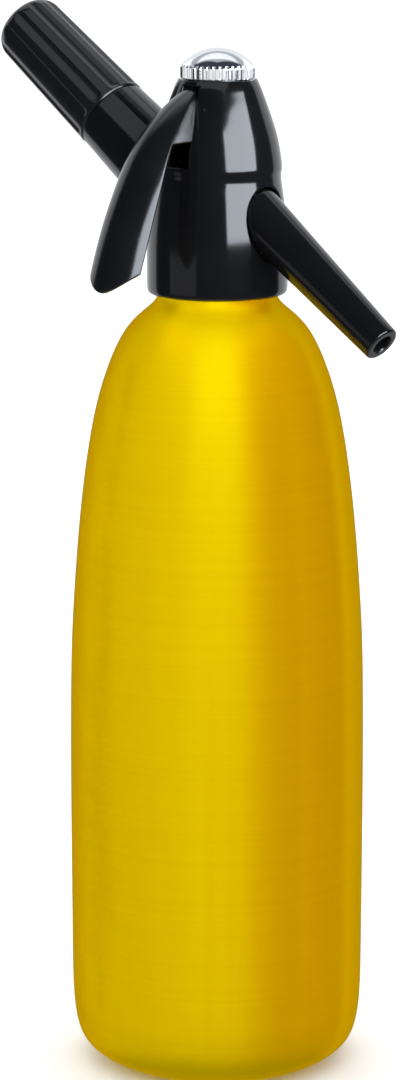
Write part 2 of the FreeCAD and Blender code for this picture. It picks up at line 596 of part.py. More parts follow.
# ------------------------------------------------------------ the charger holder
ho = new_body("HolderBody")
m, e = D["holderMouth"], D["holderEnd"]
turned(ho, "HolderCup", [
    (q("holderBore"), q("holderSpigot")), (q("holderRoot"), q("holderSpigot")), (q("holderRoot"), q("holderMouth")),
    (q("holderMouthRad") - 0.35, q("holderMouth")), (q("holderMouthRad"), q("holderMouth") + 0.4),
    (q("holderEndRad") + 0.15, e - 5.2), (10.48, e - 3.4), (9.78, e - 2.0), (8.55, e - 0.9), (6.8, e - 0.3), (4.1, e - 0.05),
    (0, q("holderEnd")), (0, q("holderFloor")), (q("holderBore"), q("holderFloor"))])
doc.recompute()
helix_thread(ho, "HolderThread", q("holderRoot"), q("holderCrest"), 44.1, q("holderPitch"), 6.0)
cutters = []
lean = math.degrees(math.atan2(D["holderMouthRad"] - D["holderEndRad"] - 0.15, e - 5.2 - m))
for k in range(int(D["grooveCount"])):
    c = doc.addObject("Part::Cylinder", "GrooveTool%02d" % k)
    c.Radius = 4.2
    c.Height = 60.0
    c.Placement = Placement(V(0, 0, m), Rotation(V(0, 0, 1), 360.0 * k / D["grooveCount"] + 8.0)).multiply(
        Placement(V(D["holderMouthRad"] + 4.2 - 0.62, 0, 0.9), Rotation(V(0, 1, 0), -lean)))
    cutters.append(c)
grooves = fuse("GrooveTools", cutters)
hcut = cut("HolderCut", ho, grooves)
hcut.Placement = HOLDER
keep(hcut, "charger_holder")

# ------------------------------------------------------------------- the lever
# Spine of the outer face from the nose at the top to the tip: (y, z, half width, crown, wall)
SPINE = [(-13.2, 301.9, 2.6, 0.6), (-17.6, 299.7, 4.1, 1.2), (-23.2, 296.2, 5.7, 2.2), (-30.6, 290.0, 7.1, 3.2),
         (-35.6, 284.0, 8.1, 4.0), (-39.4, 278.0, 8.8, 4.6), (-42.7, 272.0, 9.2, 5.0), (-45.7, 266.0, 9.5, 5.3),
         (-48.4, 260.0, 9.6, 5.6), (-50.7, 254.0, 9.6, 5.6), (-52.8, 248.0, 9.5, 5.5), (-54.6, 242.0, 9.3, 5.3)]
lv = new_body("LeverBody")
sections = []
for i, (y, z, w, crown) in enumerate(SPINE):
    a = SPINE[max(i - 1, 0)]
    b = SPINE[min(i + 1, len(SPINE) - 1)]
    ty, tz = b[0] - a[0], b[1] - a[1]
    n = math.hypot(ty, tz)
    ty, tz = ty / n, tz / n
    # outward normal of the spine in the YZ plane
    ny, nz = (tz, -ty) if tz < 0 else (-tz, ty)
    # local x = +X, local y = outward normal
    rot = Rotation(V(1, 0, 0), V(0, ny, nz), V(0, 0, 0), "XYZ")
    s = new_sketch(lv, "LeverSection%02d" % i, "XY_Plane", Placement(V(0, y, z), rot))
    t = D["leverWall"]
    rad = (w * w + crown * crown) / (2 * crown)
    half = math.asin(min(1.0, w / rad))
    ro, rin = rad, rad - t

    def on(r, ang):
        return V(r * math.sin(ang), -rad + r * math.cos(ang), 0)
    s.addGeometry(Part.Arc(on(ro, -half), on(ro, 0), on(ro, half)), False)
    s.addGeometry(Part.LineSegment(on(ro, half), on(rin, half)), False)
    s.addGeometry(Part.Arc(on(rin, half), on(rin, 0), on(rin, -half)), False)
    s.addGeometry(Part.LineSegment(on(rin, -half), on(ro, -half)), False)
    sections.append(s)
loft = lv.newObject("PartDesign::AdditiveLoft", "LeverShell")
loft.Profile = sections[0]
loft.Sections = sections[1:]
loft.Ruled = False
doc.recompute()
ask = new_sketch(lv, "ArmOutline", "YZ_Plane")
polygon(ask, [(-12.7, 300.0), (-16.7, 298.0), (-22.2, 294.5), (-29.5, 288.7), (-31.4, 286.6), (-12.0, 286.6),
              (-10.6, 290.6), (-7.0, 293.4), (3.2, 294.2), (3.2, 296.7), (-6.0, 297.0), (-10.0, 299.2)])
arm = lv.newObject("PartDesign::Pad", "LeverArm")
arm.Profile = ask
arm.Midplane = True
arm.setExpression("Length", "Sizes.armHalf * 2")
doc.recompute()
# rounded tip: everything below a curve that is lowest at the spine
vsk = new_sketch(lv, "TipTrim", "XZ_Plane")
rise = [(x, 245.05 + 0.175 * x ** 1.6 + (0.9 * (x - 8.3) if x > 8.3 else 0.0)) for x in (1.2, 2.5, 3.8, 5.1, 6.3, 7.4, 8.3, 8.9, 9.5, 14.0)]
polygon(vsk, [(-1.0 * x, z) for x, z in reversed(rise)] + [(0.0, 245.05)] + rise + [(14.0, 236.0), (-14.0, 236.0)])
tipcut = lv.newObject("PartDesign::Pocket", "TipCut")
tipcut.Profile = vsk
tipcut.Type = 1
tipcut.Midplane = True
doc.recompute()
fsk = new_sketch(lv, "ForkNotch", "XY_Plane", Placement(V(0, 0, 300.5), Rotation()))
polygon(fsk, [(2.6, 6.0), (2.6, -3.4), (1.4, -4.6), (-1.4, -4.6), (-2.6, -3.4), (-2.6, 6.0)])
fork = lv.newObject("PartDesign::Pocket", "ForkCut")
fork.Profile = fsk
fork.Type = 0
fork.Length = 9.0
doc.recompute()
hsk = new_sketch(lv, "PinBore", "YZ_Plane")
hsk.addGeometry(Part.Circle(V(-D["pinOut"], D["pinRise"], 0), V(0, 0, 1), D["pinRad"] + 0.06), False)
for kind, a, ref in (("Radius", None, "Sizes.pinRad + 0.06"),):
    c = hsk.addConstraint(Sketcher.Constraint("Radius", 0, D["pinRad"] + 0.06))
    hsk.setExpression("Constraints[%d]" % c, ref)
hole = lv.newObject("PartDesign::Pocket", "PinBoreCut")
hole.Profile = hsk
hole.Type = 1
hole.Midplane = True
keep(lv, "lever")

pp = doc.addObject("Part::Cylinder", "LeverPin")
pp.setExpression("Radius", "Sizes.pinRad")
pp.Height = 12.6
pp.Placement = Placement(V(-6.3, -D["pinOut"], D["pinRise"]), Rotation(V(0, 1, 0), 90))
keep(pp, "lever_pivot_pin")

# ------------------------------------------------------------- check and write
doc.recompute()
bad = []
for obj in doc.Objects:
    if "Invalid" in obj.State or "Error" in obj.State:
        bad.append("%s (%s): %s" % (obj.Name, obj.Label, obj.State))
if bad:
    raise SystemExit("failed objects: " + "; ".join(bad))
os.makedirs("parts", exist_ok=True)
for obj, label in PARTS:
    shp = obj.Shape
    if shp.isNull() or not shp.isValid():
        raise SystemExit("bad shape: " + label)
    print("%-20s solids %d  volume %10.1f  box %s" % (
        label, len(shp.Solids), shp.Volume,
        " ".join("%.1f" % v for v in (shp.BoundBox.XMin, shp.BoundBox.YMin, shp.BoundBox.ZMin,
                                      shp.BoundBox.XMax, shp.BoundBox.YMax, shp.BoundBox.ZMax))))
    if len(shp.Solids) != 1:
        raise SystemExit("not one solid: " + label)
for obj, label in PARTS:
    obj.Shape.Solids[0].exportStep(os.path.join("parts", label + ".step"))
print("written", len(PARTS))
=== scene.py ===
import json
import math

import bmesh
import bpy
import numpy as np
from mathutils import Matrix, Vector


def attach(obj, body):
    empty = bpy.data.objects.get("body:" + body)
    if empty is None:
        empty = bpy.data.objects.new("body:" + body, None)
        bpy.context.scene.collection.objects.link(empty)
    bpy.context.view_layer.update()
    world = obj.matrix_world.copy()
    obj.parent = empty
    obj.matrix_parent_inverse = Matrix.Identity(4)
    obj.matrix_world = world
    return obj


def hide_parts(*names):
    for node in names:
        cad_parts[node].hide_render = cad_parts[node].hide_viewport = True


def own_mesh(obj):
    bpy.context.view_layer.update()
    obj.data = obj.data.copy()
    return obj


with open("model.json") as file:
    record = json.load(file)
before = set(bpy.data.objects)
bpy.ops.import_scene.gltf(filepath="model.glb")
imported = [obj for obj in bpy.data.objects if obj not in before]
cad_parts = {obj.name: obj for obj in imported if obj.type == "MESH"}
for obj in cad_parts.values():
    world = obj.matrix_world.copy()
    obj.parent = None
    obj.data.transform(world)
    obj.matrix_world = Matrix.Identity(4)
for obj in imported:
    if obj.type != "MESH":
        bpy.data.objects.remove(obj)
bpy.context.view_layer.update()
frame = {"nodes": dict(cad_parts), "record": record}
NODES = frame["nodes"]
scene = bpy.context.scene

# Lengths below are millimetres in the part's frame, and become metres when a mesh is made.

# ------------------------------------------------------------------ small tools


def spline(pts, n):
    """n points along a natural cubic through pts, spaced evenly by chord length."""
    p = np.array(pts, float)
    d = np.r_[0, np.cumsum(np.linalg.norm(np.diff(p, axis=0), axis=1))]
    h = np.diff(d)
    m = len(p)
    a = np.zeros((m, m))
    rhs = np.zeros_like(p)
    a[0, 0] = a[-1, -1] = 1
    for i in range(1, m - 1):
        a[i, i - 1], a[i, i], a[i, i + 1] = h[i - 1], 2 * (h[i - 1] + h[i]), h[i]
        rhs[i] = 6 * ((p[i + 1] - p[i]) / h[i] - (p[i] - p[i - 1]) / h[i - 1])
    k2 = np.linalg.solve(a, rhs)
    t = np.linspace(0, d[-1], n)
    k = np.clip(np.searchsorted(d, t, side="right") - 1, 0, m - 2)
    u = ((d[k + 1] - t) / h[k])[:, None]
    v = ((t - d[k]) / h[k])[:, None]
    return u * p[k] + v * p[k + 1] + ((u ** 3 - u) * k2[k] + (v ** 3 - v) * k2[k + 1]) * (h[k] ** 2)[:, None] / 6


def rounded(corners, steps=4):
    """Polyline whose corners (x, y, radius) are rounded."""
    out = []
    n = len(corners)
    for i, c in enumerate(corners):
        p = np.array(c[:2], float)
        rad = c[2] if len(c) > 2 else 0.0
        if rad <= 0 or i in (0, n - 1):
            out.append(p)
            continue
        a, b = np.array(corners[i - 1][:2], float) - p, np.array(corners[i + 1][:2], float) - p
        la, lb = np.linalg.norm(a), np.linalg.norm(b)
        a, b = a / la, b / lb
        half = math.acos(max(-1, min(1, float(a @ b)))) / 2
        if half > math.radians(88):
            out.append(p)
            continue
        back = min(rad / math.tan(half), la * 0.49, lb * 0.49)
        rad = back * math.tan(half)
        centre = p + (a + b) / np.linalg.norm(a + b) * (rad / math.sin(half))
        s, e = p + a * back - centre, p + b * back - centre
        turn = math.atan2(s[0] * e[1] - s[1] * e[0], float(s @ e))
        for k in range(steps + 1):
            w = turn * k / steps
            out.append(centre + np.array([s[0] * math.cos(w) - s[1] * math.sin(w), s[0] * math.sin(w) + s[1] * math.cos(w)]))
    return np.array(out)


def refine(line, step):
    """Splits a polyline's long runs, so that shading stays even."""
    out = [line[0]]
    for a, b in zip(line[:-1], line[1:]):
        k = max(1, int(math.ceil(np.linalg.norm(b - a) / step)))
        out += [a + (b - a) * j / k for j in range(1, k + 1)]
    return np.array(out)


def build(name, verts, faces, sharp=35.0, weld=True, normals=None):
    """Mesh object from points in millimetres and rows of corner numbers."""
    me = bpy.data.meshes.new(name)
    verts = np.asarray(verts, float)
    me.vertices.add(len(verts))
    me.vertices.foreach_set("co", (verts * 0.001).astype(np.float32).ravel())
    loops = np.concatenate([np.asarray(f).ravel() for f in faces])
    sizes = np.concatenate([np.full(len(f), np.asarray(f).shape[1]) for f in faces])
    me.loops.add(len(loops))
    me.loops.foreach_set("vertex_index", loops.astype(np.int32))
    me.polygons.add(len(sizes))
    me.polygons.foreach_set("loop_start", np.r_[0, np.cumsum(sizes)[:-1]].astype(np.int32))
    me.update(calc_edges=True)
    if weld:
        bm = bmesh.new()
        bm.from_mesh(me)
        bmesh.ops.remove_doubles(bm, verts=bm.verts, dist=2e-6)
        bmesh.ops.dissolve_degenerate(bm, edges=bm.edges, dist=1e-7)
        bmesh.ops.recalc_face_normals(bm, faces=bm.faces)
        bm.to_mesh(me)
        bm.free()
    me.polygons.foreach_set("use_smooth", np.ones(len(me.polygons), bool))
    if normals is not None:
        me.normals_split_custom_set_from_vertices(np.asarray(normals, float).tolist())
    elif sharp:
        me.set_sharp_from_angle(angle=math.radians(sharp))
    me.update()
    ob = bpy.data.objects.new(name, me)
    scene.collection.objects.link(ob)
    return ob


def grid_faces(rows, cols, wrap, start=0):
    i = np.arange(rows - 1)[:, None]
    j = np.arange(cols if wrap else cols - 1)[None, :]
    k = (j + 1) % cols
    return (start + np.stack([i * cols + j, i * cols + k, (i + 1) * cols + k, (i + 1) * cols + j], -1)).reshape(-1, 4)


def axis_points(r, phi, s, origin, direction):
    """Points at radius r, angle phi and distance s along an axis that lies in the XZ plane."""
    d = np.array(direction, float)
    side = np.array([0.0, 1.0, 0.0])
    up = np.cross(d, side)
    r, phi, s = np.broadcast_arrays(r, phi, s)
    return (np.array(origin) + s[..., None] * d + (r * np.cos(phi))[..., None] * up + (r * np.sin(phi))[..., None] * side)


Z_AXIS = ((0.0, 0.0, 0.0), (0.0, 0.0, 1.0))
ch, sh = math.cos(math.radians(35.87)), math.sin(math.radians(35.87))
ct, st = math.cos(math.radians(36.38)), math.sin(math.radians(36.38))
HOLDER_AXIS = ((0.0, 0.0, 260.58), (-ch, 0.0, sh))
SPOUT_AXIS = ((0.0, 0.0, 276.47), (ct, 0.0, -st))


def smooth(x, a, b):
    t = np.clip((x - a) / (b - a), 0, 1)
    return t * t * (3 - 2 * t)


def smin(a, b, k):
    h = np.maximum(k - np.abs(a - b), 0) / k
    return np.minimum(a, b) - h * h * k * 0.25


def smax(a, b, k):
    return -smin(-a, -b, k)


class Profile:
    """Signed distance to a closed outline in (radius, height), kept on a fine table."""

    def __init__(self, poly, step=0.1, margin=4.0):
        poly = np.asarray(poly, float)
        self.step = step
        self.lo = np.array([0.0, poly[:, 1].min() - margin])
        hi = poly.max(0) + margin
        self.n = np.ceil((hi - self.lo) / step).astype(int) + 2
        r = self.lo[0] + step * np.arange(self.n[0])[:, None]
        z = self.lo[1] + step * np.arange(self.n[1])[None, :]
        best = np.full((self.n[0], self.n[1]), 1e9)
        inside = np.zeros(best.shape, bool)
        for a, b in zip(poly, np.roll(poly, -1, 0)):
            d = b - a
            l2 = float(d @ d)
            if l2 < 1e-12:
                continue
            t = np.clip(((r - a[0]) * d[0] + (z - a[1]) * d[1]) / l2, 0, 1)
            # the run along the axis isn't a surface
            if not (abs(a[0]) < 1e-9 and abs(b[0]) < 1e-9):
                best = np.minimum(best, (r - a[0] - t * d[0]) ** 2 + (z - a[1] - t * d[1]) ** 2)
            if a[1] != b[1]:
                hit = ((a[1] > z) != (b[1] > z)) & (r < (b[0] - a[0]) * (z - a[1]) / (b[1] - a[1]) + a[0])
                inside ^= hit
        self.t = np.where(inside, -1, 1) * np.sqrt(best)

    def __call__(self, r, z):
        u = np.clip((r - self.lo[0]) / self.step, 0, self.n[0] - 1.001)
        v = np.clip((z - self.lo[1]) / self.step, 0, self.n[1] - 1.001)
        i, j = u.astype(int), v.astype(int)
        u, v = u - i, v - j
        t = self.t
        return (t[i, j] * (1 - u) * (1 - v) + t[i + 1, j] * u * (1 - v) + t[i, j + 1] * (1 - u) * v + t[i + 1, j + 1] * u * v)


def surface(name, field, low, high, h, relax=2, exact=True):
    """Mesh of field(x, y, z) = 0 inside a box, with its normals taken from the field."""
    ax = [np.arange(a, b + h, h) for a, b in zip(low, high)]
    x, y, z = np.meshgrid(*ax, indexing="ij", sparse=True)
    f = np.broadcast_to(field(x, y, z), tuple(len(a) for a in ax)).astype(np.float64)
    neg = f < 0
    nx, ny, nz = f.shape
    corner = {}
    total = np.zeros((nx - 1, ny - 1, nz - 1), np.int8)
    for i in (0, 1):
        for j in (0, 1):
            for k in (0, 1):
                c = neg[i:nx - 1 + i, j:ny - 1 + j, k:nz - 1 + k]
                corner[i, j, k] = c
                total += c
    cells = np.argwhere((total > 0) & (total < 8))
    index = np.full(total.shape, -1, np.int64)
    index[tuple(cells.T)] = np.arange(len(cells))
    acc = np.zeros((len(cells), 3))
    cnt = np.zeros(len(cells))
    ci, cj, ck = cells.T
    for axis in range(3):
        for a in (0, 1):
            for b in (0, 1):
                o0 = [0, 0, 0]
                others = [q for q in range(3) if q != axis]
                o0[others[0]], o0[others[1]] = a, b
                o1 = list(o0)
                o1[axis] = 1
                v0 = f[ci + o0[0], cj + o0[1], ck + o0[2]]
                v1 = f[ci + o1[0], cj + o1[1], ck + o1[2]]
                hit = (v0 < 0) != (v1 < 0)
                t = np.where(hit, v0 / np.where(v0 == v1, 1, v0 - v1), 0)
                p = np.array(o0, float)[None, :].repeat(len(cells), 0)
                p[:, axis] += t
                acc += p * hit[:, None]
                cnt += hit
    pos = (cells + acc / cnt[:, None]) * h + np.array([a[0] for a in ax])
    quads = []
    for axis in range(3):
        sl0 = [slice(1, -1)] * 3
        sl1 = [slice(1, -1)] * 3
        sl0[axis], sl1[axis] = slice(0, -1), slice(1, None)
        n0, n1 = neg[tuple(sl0)], neg[tuple(sl1)]
        e = np.argwhere(n0 != n1)
        if not len(e):
            continue
        flip = n1[tuple(e.T)]
        base = e + 1
        base[:, axis] -= 1
        others = [q for q in range(3) if q != axis]
        ring = []
        for a, b in ((0, 0), (1, 0), (1, 1), (0, 1)):
            c = base.copy()
            c[:, others[0]] -= a
            c[:, others[1]] -= b
            ring.append(index[tuple(c.T)])
        q = np.stack(ring, 1)
        if axis == 1:
            flip = ~flip
        q[flip] = q[flip][:, ::-1]
        quads.append(q)
    quads = np.concatenate(quads)
    quads = quads[(quads >= 0).all(1)]

    def grad(p, e=0.06):
        g = np.zeros_like(p)
        for a in range(3):
            d = np.zeros(3)
            d[a] = e
            u, w = p + d, p - d
            g[:, a] = (field(u[:, 0], u[:, 1], u[:, 2]) - field(w[:, 0], w[:, 1], w[:, 2])) / (2 * e)
        return g

    # even the mesh out a little, then draw it back on to the surface
    nv = len(pos)
    edges = np.concatenate([quads[:, [0, 1]], quads[:, [1, 2]], quads[:, [2, 3]], quads[:, [3, 0]]])
    for _ in range(relax):
        s = np.zeros((nv, 3))
        n = np.zeros(nv)
        for a, b in ((0, 1), (1, 0)):
            np.add.at(n, edges[:, a], 1)
            for q in range(3):
                s[:, q] += np.bincount(edges[:, a], pos[edges[:, b], q], nv)
        pos = pos * 0.5 + 0.5 * s / np.maximum(n, 1)[:, None]
        for _ in range(2):
            g = grad(pos)
            v = field(pos[:, 0], pos[:, 1], pos[:, 2])
            step = (v / np.maximum((g * g).sum(1), 0.2))[:, None] * g
            size = np.linalg.norm(step, axis=1, keepdims=True)
            pos = pos - step * np.minimum(1, 0.5 * h / np.maximum(size, 1e-9))
    g = grad(pos)
    g /= np.maximum(np.linalg.norm(g, axis=1, keepdims=True), 1e-9)
    # corner order so that faces look outwards
    a, b, c = pos[quads[:, 0]], pos[quads[:, 1]], pos[quads[:, 3]]
    wrong = (np.cross(b - a, c - a) * g[quads[:, 0]]).sum(1) < 0
    quads[wrong] = quads[wrong][:, ::-1]
    return build(name, pos, [quads], weld=False, normals=g)


# ------------------------------------------------------------------- materials


class Mat:
    """A node material on one Principled shader."""

    def __init__(self, name):
        self.m = bpy.data.materials.new(name)
        self.m.use_nodes = True
        self.t = self.m.node_tree
        self.t.nodes.clear()
        self.out = self.t.nodes.new("ShaderNodeOutputMaterial")
        self.b = self.t.nodes.new("ShaderNodeBsdfPrincipled")
        self.link(self.b.outputs[0], self.out.inputs[0])
        self.co = self.node("ShaderNodeTexCoord").outputs["Object"]

    def node(self, kind, **kw):
        n = self.t.nodes.new(kind)
        for k, v in kw.items():
            if hasattr(n, k):
                setattr(n, k, v)
            else:
                n.inputs[k].default_value = v
        return n

    def link(self, a, b):
        self.t.links.new(a, b)

    def set(self, **kw):
        for k, v in kw.items():
            self.b.inputs[k.replace("_", " ")].default_value = v

    def scaled(self, x, y, z, rot=None):
        n = self.node("ShaderNodeMapping")
        n.inputs["Scale"].default_value = (x, y, z)
        if rot:
            n.inputs["Rotation"].default_value = rot
        self.link(self.co, n.inputs["Vector"])
        return n.outputs[0]

    def noise(self, vec, scale=5.0, detail=3.0, rough=0.5):
        n = self.node("ShaderNodeTexNoise")
        n.inputs["Scale"].default_value = scale
        n.inputs["Detail"].default_value = detail
        n.inputs["Roughness"].default_value = rough
        self.link(vec, n.inputs["Vector"])
        return n.outputs["Fac"]

    def ramp(self, fac, stops):
        n = self.node("ShaderNodeValToRGB")
        cr = n.color_ramp
        while len(cr.elements) < len(stops):
            cr.elements.new(0.5)
        for e, (p, c) in zip(cr.elements, stops):
            e.position = p
            e.color = (*c, 1.0) if len(c) == 3 else c
        self.link(fac, n.inputs["Fac"])
        return n.outputs["Color"]

    def span(self, fac, lo, hi, a=0.0, b=1.0):
        n = self.node("ShaderNodeMapRange")
        n.inputs["From Min"].default_value = a
        n.inputs["From Max"].default_value = b
        n.inputs["To Min"].default_value = lo
        n.inputs["To Max"].default_value = hi
        self.link(fac, n.inputs["Value"])
        return n.outputs[0]

    def bump(self, height, strength, distance, normal=None):
        n = self.node("ShaderNodeBump")
        n.inputs["Strength"].default_value = strength
        n.inputs["Distance"].default_value = distance
        self.link(height, n.inputs["Height"])
        if normal is not None:
            self.link(normal, n.inputs["Normal"])
        return n.outputs[0]


def yellow_aluminium():
    m = Mat("yellow_aluminium")
    streak = m.noise(m.scaled(9, 9, 2600), 1.0, 2.0, 0.55)
    band = m.noise(m.scaled(4, 4, 420), 1.0, 3.0, 0.5)
    cloud = m.noise(m.scaled(14, 14, 10), 1.0, 2.0, 0.5)
    mix = m.node("ShaderNodeMath", operation="ADD")
    m.link(m.span(streak, 0.0, 0.55), mix.inputs[0])
    m.link(m.span(band, 0.0, 0.45), mix.inputs[1])
    m.link(m.ramp(mix.outputs[0], [(0.28, (0.92, 0.627, 0.0006)), (0.72, (0.965, 0.667, 0.0010))]), m.b.inputs["Base Color"])
    m.link(m.span(cloud, 0.34, 0.44), m.b.inputs["Roughness"])
    m.set(Metallic=1.0, Anisotropic=0.72, Anisotropic_Rotation=0.25, IOR=1.5)
    m.b.inputs["Specular Tint"].default_value = (1.0, 0.70, 0.02, 1.0)
    tan = m.node("ShaderNodeTangent", direction_type="RADIAL", axis="Z")
    m.link(tan.outputs[0], m.b.inputs["Tangent"])
    m.link(m.bump(mix.outputs[0], 0.07, 0.0002), m.b.inputs["Normal"])
    return m.m


def black_plastic(name, rough, base=0.0042, wave=0.05):
    m = Mat(name)
    fine = m.noise(m.scaled(900, 900, 900), 1.0, 2.0, 0.5)
    slow = m.noise(m.scaled(60, 60, 60), 1.0, 2.0, 0.5)
    m.link(m.ramp(slow, [(0.3, (base * 0.85, base * 0.87, base * 0.95)), (0.7, (base * 1.15, base * 1.15, base * 1.25))]), m.b.inputs["Base Color"])
    m.link(m.span(slow, rough * 0.85, rough * 1.15, 0.3, 0.7), m.b.inputs["Roughness"])
    m.set(IOR=1.5)
    n = m.bump(slow, wave, 0.0010)
    m.link(m.bump(fine, 0.03, 0.00004, n), m.b.inputs["Normal"])
    return m.m


def chrome():
    m = Mat("chrome")
    fine = m.noise(m.scaled(700, 700, 700), 1.0, 2.0, 0.5)
    slow = m.noise(m.scaled(90, 90, 90), 1.0, 2.0, 0.5)
    m.link(m.ramp(slow, [(0.3, (0.80, 0.81, 0.83)), (0.7, (0.88, 0.885, 0.89))]), m.b.inputs["Base Color"])
    m.link(m.span(fine, 0.05, 0.11), m.b.inputs["Roughness"])
    m.set(Metallic=1.0)
    m.link(m.bump(slow, 0.03, 0.0006), m.b.inputs["Normal"])
    return m.m


def metal(name, low, high, rough, stretch=(60, 60, 60), scale=1.0, bump=0.06):
    m = Mat(name)
    a = m.noise(m.scaled(*stretch), scale, 3.0, 0.6)
    b = m.noise(m.scaled(500, 500, 500), 1.0, 2.0, 0.5)
    m.link(m.ramp(a, [(0.3, low), (0.7, high)]), m.b.inputs["Base Color"])
    m.link(m.span(b, rough * 0.75, rough * 1.25), m.b.inputs["Roughness"])
    m.set(Metallic=1.0)
    m.link(m.bump(a, bump, 0.0001), m.b.inputs["Normal"])
    return m.m


def rubber():
    m = Mat("seal_rubber")
    a = m.noise(m.scaled(400, 400, 400), 1.0, 4.0, 0.6)
    m.link(m.ramp(a, [(0.3, (0.012, 0.012, 0.013)), (0.7, (0.030, 0.030, 0.031))]), m.b.inputs["Base Color"])
    m.link(m.span(a, 0.55, 0.75), m.b.inputs["Roughness"])
    m.link(m.bump(a, 0.15, 0.00008), m.b.inputs["Normal"])
    return m.m


def milky(name, low, high, rough, subsurface=0.15):
    m = Mat(name)
    a = m.noise(m.scaled(80, 80, 20), 1.0, 3.0, 0.5)
    m.link(m.ramp(a, [(0.3, low), (0.7, high)]), m.b.inputs["Base Color"])
    m.link(m.span(a, rough * 0.85, rough * 1.15), m.b.inputs["Roughness"])
    m.set(Subsurface_Weight=subsurface, Subsurface_Scale=0.002)
    m.link(m.bump(a, 0.05, 0.0002), m.b.inputs["Normal"])
    return m.m


MATS = {
    "yellow_aluminium": yellow_aluminium(),
    "black_plastic": black_plastic("black_plastic", 0.10, wave=0.010),
    "black_plastic_spout": black_plastic("black_plastic_spout", 0.11, wave=0.02),
    "black_plastic_lever": black_plastic("black_plastic_lever", 0.17, base=0.0055, wave=0.03),
    "black_plastic_holder": black_plastic("black_plastic_holder", 0.20, base=0.0065, wave=0.02),
    "chrome": chrome(),
    "steel": metal("steel", (0.50, 0.51, 0.53), (0.64, 0.65, 0.67), 0.24),
    "spring_steel": metal("spring_steel", (0.42, 0.43, 0.45), (0.58, 0.59, 0.61), 0.28),
    "charger_steel": metal("charger_steel", (0.55, 0.56, 0.58), (0.70, 0.71, 0.73), 0.27, (30, 30, 30)),
    "plated_brass": metal("plated_brass", (0.58, 0.49, 0.30), (0.72, 0.63, 0.42), 0.26, (120, 120, 120)),
    "seal_rubber": rubber(),
    "white_plastic": milky("white_plastic", (0.70, 0.69, 0.65), (0.80, 0.79, 0.75), 0.35),
    "tube_plastic": milky("tube_plastic", (0.72, 0.76, 0.77), (0.84, 0.87, 0.87), 0.28, 0.3),
}


def finish_piece(ob, slot, body, *nodes):
    ob.data.materials.clear()
    ob.data.materials.append(MATS[slot])
    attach(ob, body)
    if nodes:
        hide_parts(*nodes)
    return ob


# ------------------------------------------------------------------- the bottle
OUTSIDE = [(30.00, 0.0), (31.60, 0.22), (33.80, 0.98), (36.90, 2.55), (39.70, 4.55), (41.75, 6.90), (43.15, 10.00), (44.05, 14.00),
           (44.66, 20.0), (44.98, 32.0), (45.07, 48.0), (45.14, 70.0), (45.18, 95.0), (45.03, 115.0), (44.58, 134.0),
           (43.66, 150.0), (42.50, 165.0), (40.96, 180.0), (38.82, 195.0), (36.62, 206.0), (34.02, 215.0),
           (31.32, 222.0), (28.14, 228.0), (24.88, 232.0), (20.90, 235.5), (19.3, 237.0), (18.45, 238.2), (18.1, 239.4)]


def bottle():
    cols = 288
    outer = spline(OUTSIDE, 220)
    outer[:, 0] = np.minimum(outer[:, 0], 45.18)
    foot = rounded([(0, 3.0), (14.6, 2.16, 6), (24.6, 0.55, 2.0), (26.5, 0.0, 0.5), (30.0, 0.0, 0), (30.0, 0.0, 0)], 6)[:-1]
    neck_up = refine(rounded([(18.1, 239.4), (18.1, 240.0, 0.25), (16.4, 240.0, 0.2), (16.4, 254.5, 0.2), (15.9, 255.0, 0.2),
                              (14.2, 255.0, 0.25), (14.2, 239.2)], 4), 0.14)
    inner = np.array([(14.2, 239.2)] + [(r - 1.6, z - 0.5) for r, z in reversed(OUTSIDE[8:-3])] + [(41.2, 9.0), (37.5, 5.2), (33.0, 3.2), (28.0, 1.8)])
    inner[1] = (16.6, 236.3)
    inner[2] = (23.5, 231.0)
    inner = spline(inner, 90)
    floor = np.array([(26.5, 1.6), (21.2, 2.74), (14.6, 3.7), (7.4, 4.36), (0, 4.6)])
    prof = np.vstack([foot, outer[1:], neck_up[1:], inner[1:], floor])
    phi = np.linspace(0, 2 * np.pi, cols, endpoint=False)[None, :]
    r = prof[:, :1] + 0 * phi
    z = prof[:, 1:] + 0 * phi
    # the neck thread: a ridge that climbs 3 mm a turn
    on = (np.abs(r - 16.4) < 0.02) & (z > 241.2) & (z < 254.0)
    turns = (z - 242.9 - 3.0 * phi / (2 * np.pi)) / 3.0
    off = np.abs(turns - np.round(turns)) * 3.0
    ridge = 0.6 * (1 - smooth(off, 0.28, 0.92))
    fade = smooth(z - 3.0 * phi / (2 * np.pi), 241.9, 242.9) * (1 - smooth(z, 250.2, 251.8))
    r = r + np.where(on, ridge * fade, 0)
    ob = build("bottle", axis_points(r, phi, z, *Z_AXIS).reshape(-1, 3), [grid_faces(len(prof), cols, True)], sharp=38)
    return finish_piece(ob, "yellow_aluminium", "bottle", "bottle_shell")


bottle()

# --------------------------------------------------------------- the head casing
CASING = [(20.1, 239.8), (20.62, 240.05), (21.0, 240.5), (21.25, 241.7), (21.3, 244.5), (21.3, 252.0), (21.15, 257.0), (20.75, 262.0), (20.2, 267.0),
          (19.6, 271.5), (19.25, 274.2), (19.2, 275.2), (19.25, 276.2), (19.42, 277.2), (19.46, 278.2), (19.3, 280.0), (18.95, 282.5), (18.45, 285.2), (17.75, 288.2),
          (16.9, 291.0), (15.85, 294.1), (14.75, 297.2), (13.62, 300.2), (12.6, 302.7), (11.8, 304.2)]
outer_line = np.vstack([[(0, 239.8)], [CASING[0]], spline(CASING, 160)[1:], [(0, 304.2)]])
T_OUT = Profile(outer_line)
T_IN = Profile(np.array([(0, 236.0), (18.65, 236.0), (18.65, 263.3), (16.9, 263.3), (17.1, 278.0), (16.5, 284.0), (15.1, 290.0), (13.1, 296.0),
                         (11.6, 299.8), (9.75, 299.8), (9.75, 306.5), (0, 306.5)]))
